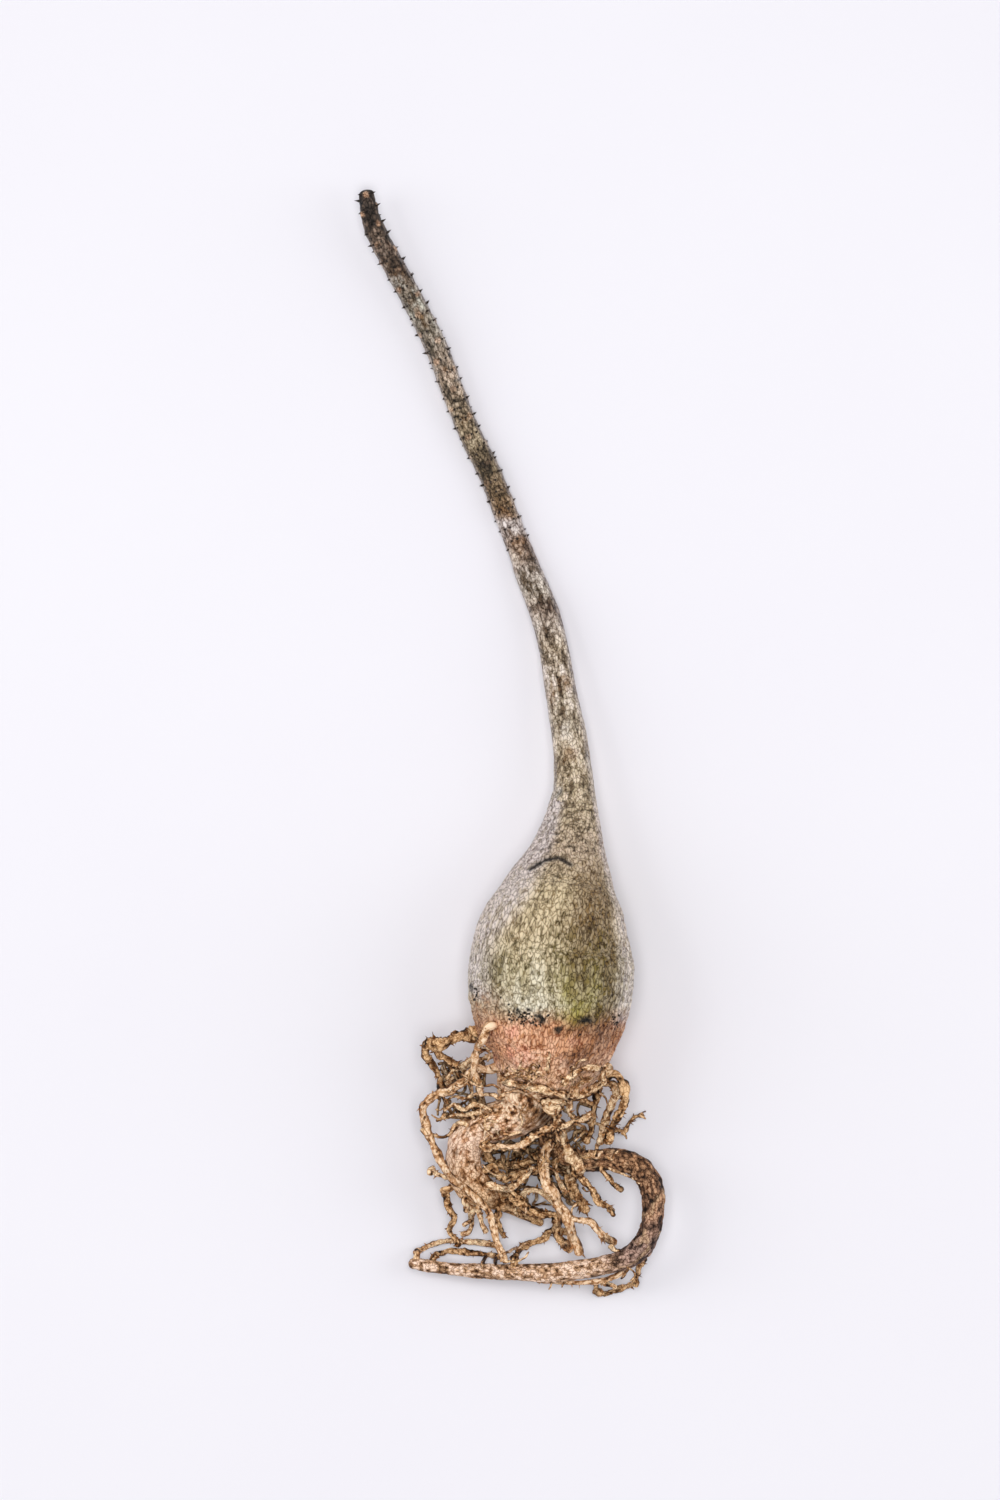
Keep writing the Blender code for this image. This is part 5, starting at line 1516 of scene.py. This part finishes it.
def place_together(name, shapes, tone):
    """Places many small skins of one tone as one piece."""
    vertices, faces = joined([shape[:2] for shape in shapes])
    colours = np.vstack([shape[2] for shape in shapes])
    grains = np.vstack([shape[3] for shape in shapes])
    placed(name, vertices, faces, colours, grains, ROOT_SKINS[tone], SLOTS[tone])


def laid_twig(route, radius, tip_share):
    """The twig's rows, how high it lies on what it crosses, and the rows where it crosses something."""
    rows = through([(x, y, 0, radius) for x, y in route], FINE_STEP)
    rows[:, 3] *= np.linspace(1, tip_share, len(rows))
    heights = []
    for x, y, _, thickness in rows:
        hit = top_at(x, y)
        heights.append(np.nan if hit is None else hit.z + 0.55 * thickness)
    heights = np.array(heights)
    return rows, heights, np.nonzero(~np.isnan(heights))[0]


twigs = {"pale": [], "tan": [], "dark": []}
for number, (tone, radius, tip_share, route) in enumerate(TWIGS):
    rows, heights, known = laid_twig(route, radius, tip_share)
    if not len(known):
        joint = shown.find_nearest(Vector((*route[0], TWIG_HEIGHT)))[0]
        rows, heights, known = laid_twig([(joint.x, joint.y), *route], radius, tip_share)
        heights[:] = joint.z
        known = np.arange(len(rows))
    heights = np.interp(np.arange(len(rows)), known, heights[known])
    for _ in range(6):
        padded = np.concatenate([heights[:1], heights, heights[-1:]])
        heights = np.maximum(heights, (padded[:-2] + padded[1:-1] + padded[2:]) / 3)
    rows[:, 2] = heights
    limb = Limb(wandering(rows, number + 70), 10)
    twigs[tone].append(skin(limb, *root_skin(limb, tone, number + 70)))
for tone, shapes in twigs.items():
    place_together(f"{tone}_twigs", shapes, tone)


def fibre(place, heading, radius, draw):
    """A rootlet that wanders over what lies under it, and stops where that falls away."""
    rows = []
    for _ in range(draw.integers(4, 9)):
        hit = top_at(*place)
        if hit is None or (rows and abs(hit.z - rows[-1][2]) > DROP):
            break
        rows.append((*place, hit.z + 0.35 * radius, radius))
        heading += draw.normal(0, 0.75)
        place = place + np.array([math.cos(heading), math.sin(heading)]) * draw.uniform(0.7, 1.3)
    return rows


def buried_rootlet(room, draw):
    """A rootlet that starts on the nearest skin, leaps at most LEAP from it and wanders through a hollow."""
    low = np.array(room[0:6:2], float)
    high = np.array(room[1:6:2], float)
    place = draw.uniform(low, high)
    heading = draw.uniform(0, 2 * math.pi)
    radius = draw.uniform(0.35, 0.85)
    start = np.array(shown.find_nearest(Vector(place))[0])
    reach = np.linalg.norm(place - start)
    place = start + (place - start) * min(1, LEAP / reach)
    rows = [(*start, radius)]
    for _ in range(draw.integers(4, 8)):
        rows.append((*place, radius))
        heading += draw.normal(0, 0.7)
        step = np.array([math.cos(heading), math.sin(heading), draw.normal(0, 0.35)]) * draw.uniform(1.5, 2.8)
        place = np.clip(place + step, np.minimum(low, place), np.maximum(high, place))
    return rows


draw = np.random.default_rng(19)
fibres = {"pale": [], "tan": [], "dark": []}
number = 200
for room in HOLLOWS:
    for _ in range(room[-1]):
        number += 1
        # Painted shade: rootlets in the hollows are mostly dark and drawn at 0.58 of their colour, for the
        # shade deep in the tangle.
        tone = draw.choice(["pale", "tan", "dark"], p=[0.05, 0.35, 0.6])
        curve = through(buried_rootlet(room, draw), 0.5)
        curve[:, 3] *= np.linspace(1, 0.5, len(curve))
        limb = Limb(curve, 9)
        vertices, faces, colours, grains = skin(limb, *root_skin(limb, tone, number))
        fibres[tone].append((vertices, faces, 0.58 * colours, grains))
for x, y, width, height, count in MATS:
    for _ in range(count):
        number += 1
        place = np.array([x, y]) + draw.normal(0, 0.5, 2) * (width, height)
        tone = draw.choice(["pale", "tan", "dark"], p=[0.25, 0.45, 0.3])
        rows = fibre(place, draw.uniform(0, 6.28), draw.uniform(0.22, 0.55), draw)
        if len(rows) > 2:
            curve = through(rows, 0.45)
            curve[:, 3] *= np.linspace(1, 0.6, len(curve))
            limb = Limb(curve, 8)
            fibres[tone].append(skin(limb, *root_skin(limb, tone, number)))
for tone, shapes in fibres.items():
    place_together(f"{tone}_fibres", shapes, tone)

bases, ways, widths, lengths = [], [], [], []
for number, (down, turn, strength) in enumerate(leaf_scars()):
    row = int(np.abs(stem.run[:, 0] - down).argmin())
    for lean in SPINE_LEANS:
        column = int(round((turn + lean) / (2 * math.pi) * stem.turn.size)) % stem.turn.size
        chance = lattice(np.array([number, int(10 * lean), 5]), 3)
        bases.append(stem.base[row, column])
        ways.append(stem.out[row, column] + np.array([0, 0.45, 0]) * (chance - 0.3))
        widths.append(0.34 + 0.14 * chance)
        lengths.append((0.6 + 1.1 * chance) * (0.4 + 0.6 * strength))
vertices, faces = cones(bases, ways, widths, lengths)
spine_tint = linear("#3a2f27") * (0.8 + 0.6 * speckle(len(vertices), (1, 3, 5), 9))
placed("spine_stumps", vertices, faces, spine_tint, vertices, STEM_SKIN, "caudex_bark")

crumbs = []
draw = np.random.default_rng(7)
line = through([(x, y, 0) for x, y in SOIL_LINE], 0.25)
for number in range(420):
    x, y = line[draw.integers(len(line)), :2] + draw.normal(0, (0.8, 1.3))
    hit = top_at(x, y)
    clumped = noise(np.array([[x, y, 0.0]]), 2.6, 611)[0]
    if hit is not None and clumped > (0 if -3 < x < 15 else 0.35):
        crumbs.append(crumb(np.array(hit), draw.uniform(0.18, 0.5), number))
vertices, faces = joined(crumbs)
crumb_tint = linear("#211a12") * (0.6 + 1.2 * speckle(len(vertices), (2, 1, 7), 4))
placed("soil_crumbs", vertices, faces, crumb_tint, vertices, STEM_SKIN, "caudex_bark")


def table_material():
    """Smooth white card, so even that only the plant's own soft shadows show on it."""
    made = bpy.data.materials.new("white_card")
    made.use_nodes = True
    tree = made.node_tree
    shader = tree.nodes["Principled BSDF"]
    shader.inputs["Roughness"].default_value = 0.9
    shader.inputs["Specular IOR Level"].default_value = 0.1
    places = node(tree, "ShaderNodeTexCoord", {}).outputs["Object"]
    cloud = node(tree, "ShaderNodeTexNoise", {"Scale": 6.0, "Detail": 2.0}, Vector=places)
    ramp = node(tree, "ShaderNodeValToRGB", {}, Fac=cloud.outputs["Fac"])
    ramp.color_ramp.elements[0].color = (*linear("#f3f1f7"), 1)
    ramp.color_ramp.elements[1].color = (*linear("#f7f6fa"), 1)
    tree.links.new(ramp.outputs["Color"], shader.inputs["Base Color"])
    return made


mesh = bpy.data.meshes.new("table")
mesh.from_pydata([(-6, -6, 0), (6, -6, 0), (6, 6, 0), (-6, 6, 0)], [], [(0, 1, 2, 3)])
mesh.materials.append(table_material())
table = bpy.data.objects.new("table", mesh)
table.location.z = -0.0002
bpy.context.scene.collection.objects.link(table)

world = bpy.data.worlds.new("studio")
world.use_nodes = True
world.node_tree.nodes["Background"].inputs["Color"].default_value = (*linear("#fbf9ff"), 1)
world.node_tree.nodes["Background"].inputs["Strength"].default_value = 0.33
bpy.context.scene.world = world


def softbox(name, place, width, length, power):
    """A large soft light that looks at the plant and isn't itself seen."""
    light = bpy.data.lights.new(name, "AREA")
    light.shape = "RECTANGLE"
    light.size = width
    light.size_y = length
    light.energy = power
    lamp = bpy.data.objects.new(name, light)
    lamp.location = place
    lamp.rotation_euler = Vector(place).to_track_quat("Z", "Y").to_euler()
    lamp.visible_camera = False
    bpy.context.scene.collection.objects.link(lamp)


softbox("softbox_over", (0, 0, 2.2), 0.7, 0.9, 21.8)
softbox("softbox_key", (-0.8, 0.4, 1.3), 0.25, 0.35, 1.1)
softbox("softbox_left", (-1.1, 0.1, 0.8), 0.6, 1.4, 4.6)
softbox("softbox_right", (1.1, 0.1, 0.8), 0.6, 1.4, 4.6)

camera = bpy.data.cameras.new("camera")
camera.sensor_width = 36
camera.lens = CAMERA_LENS
eye = bpy.data.objects.new("camera", camera)
aim = (np.array(CAMERA_AIM) + SHIFT) * MM
eye.location = (aim[0], aim[1], CAMERA_HEIGHT)
bpy.context.scene.collection.objects.link(eye)
bpy.context.scene.camera = eye
bpy.context.scene.view_settings.view_transform = "Standard"
bpy.context.scene.view_settings.look = "None"
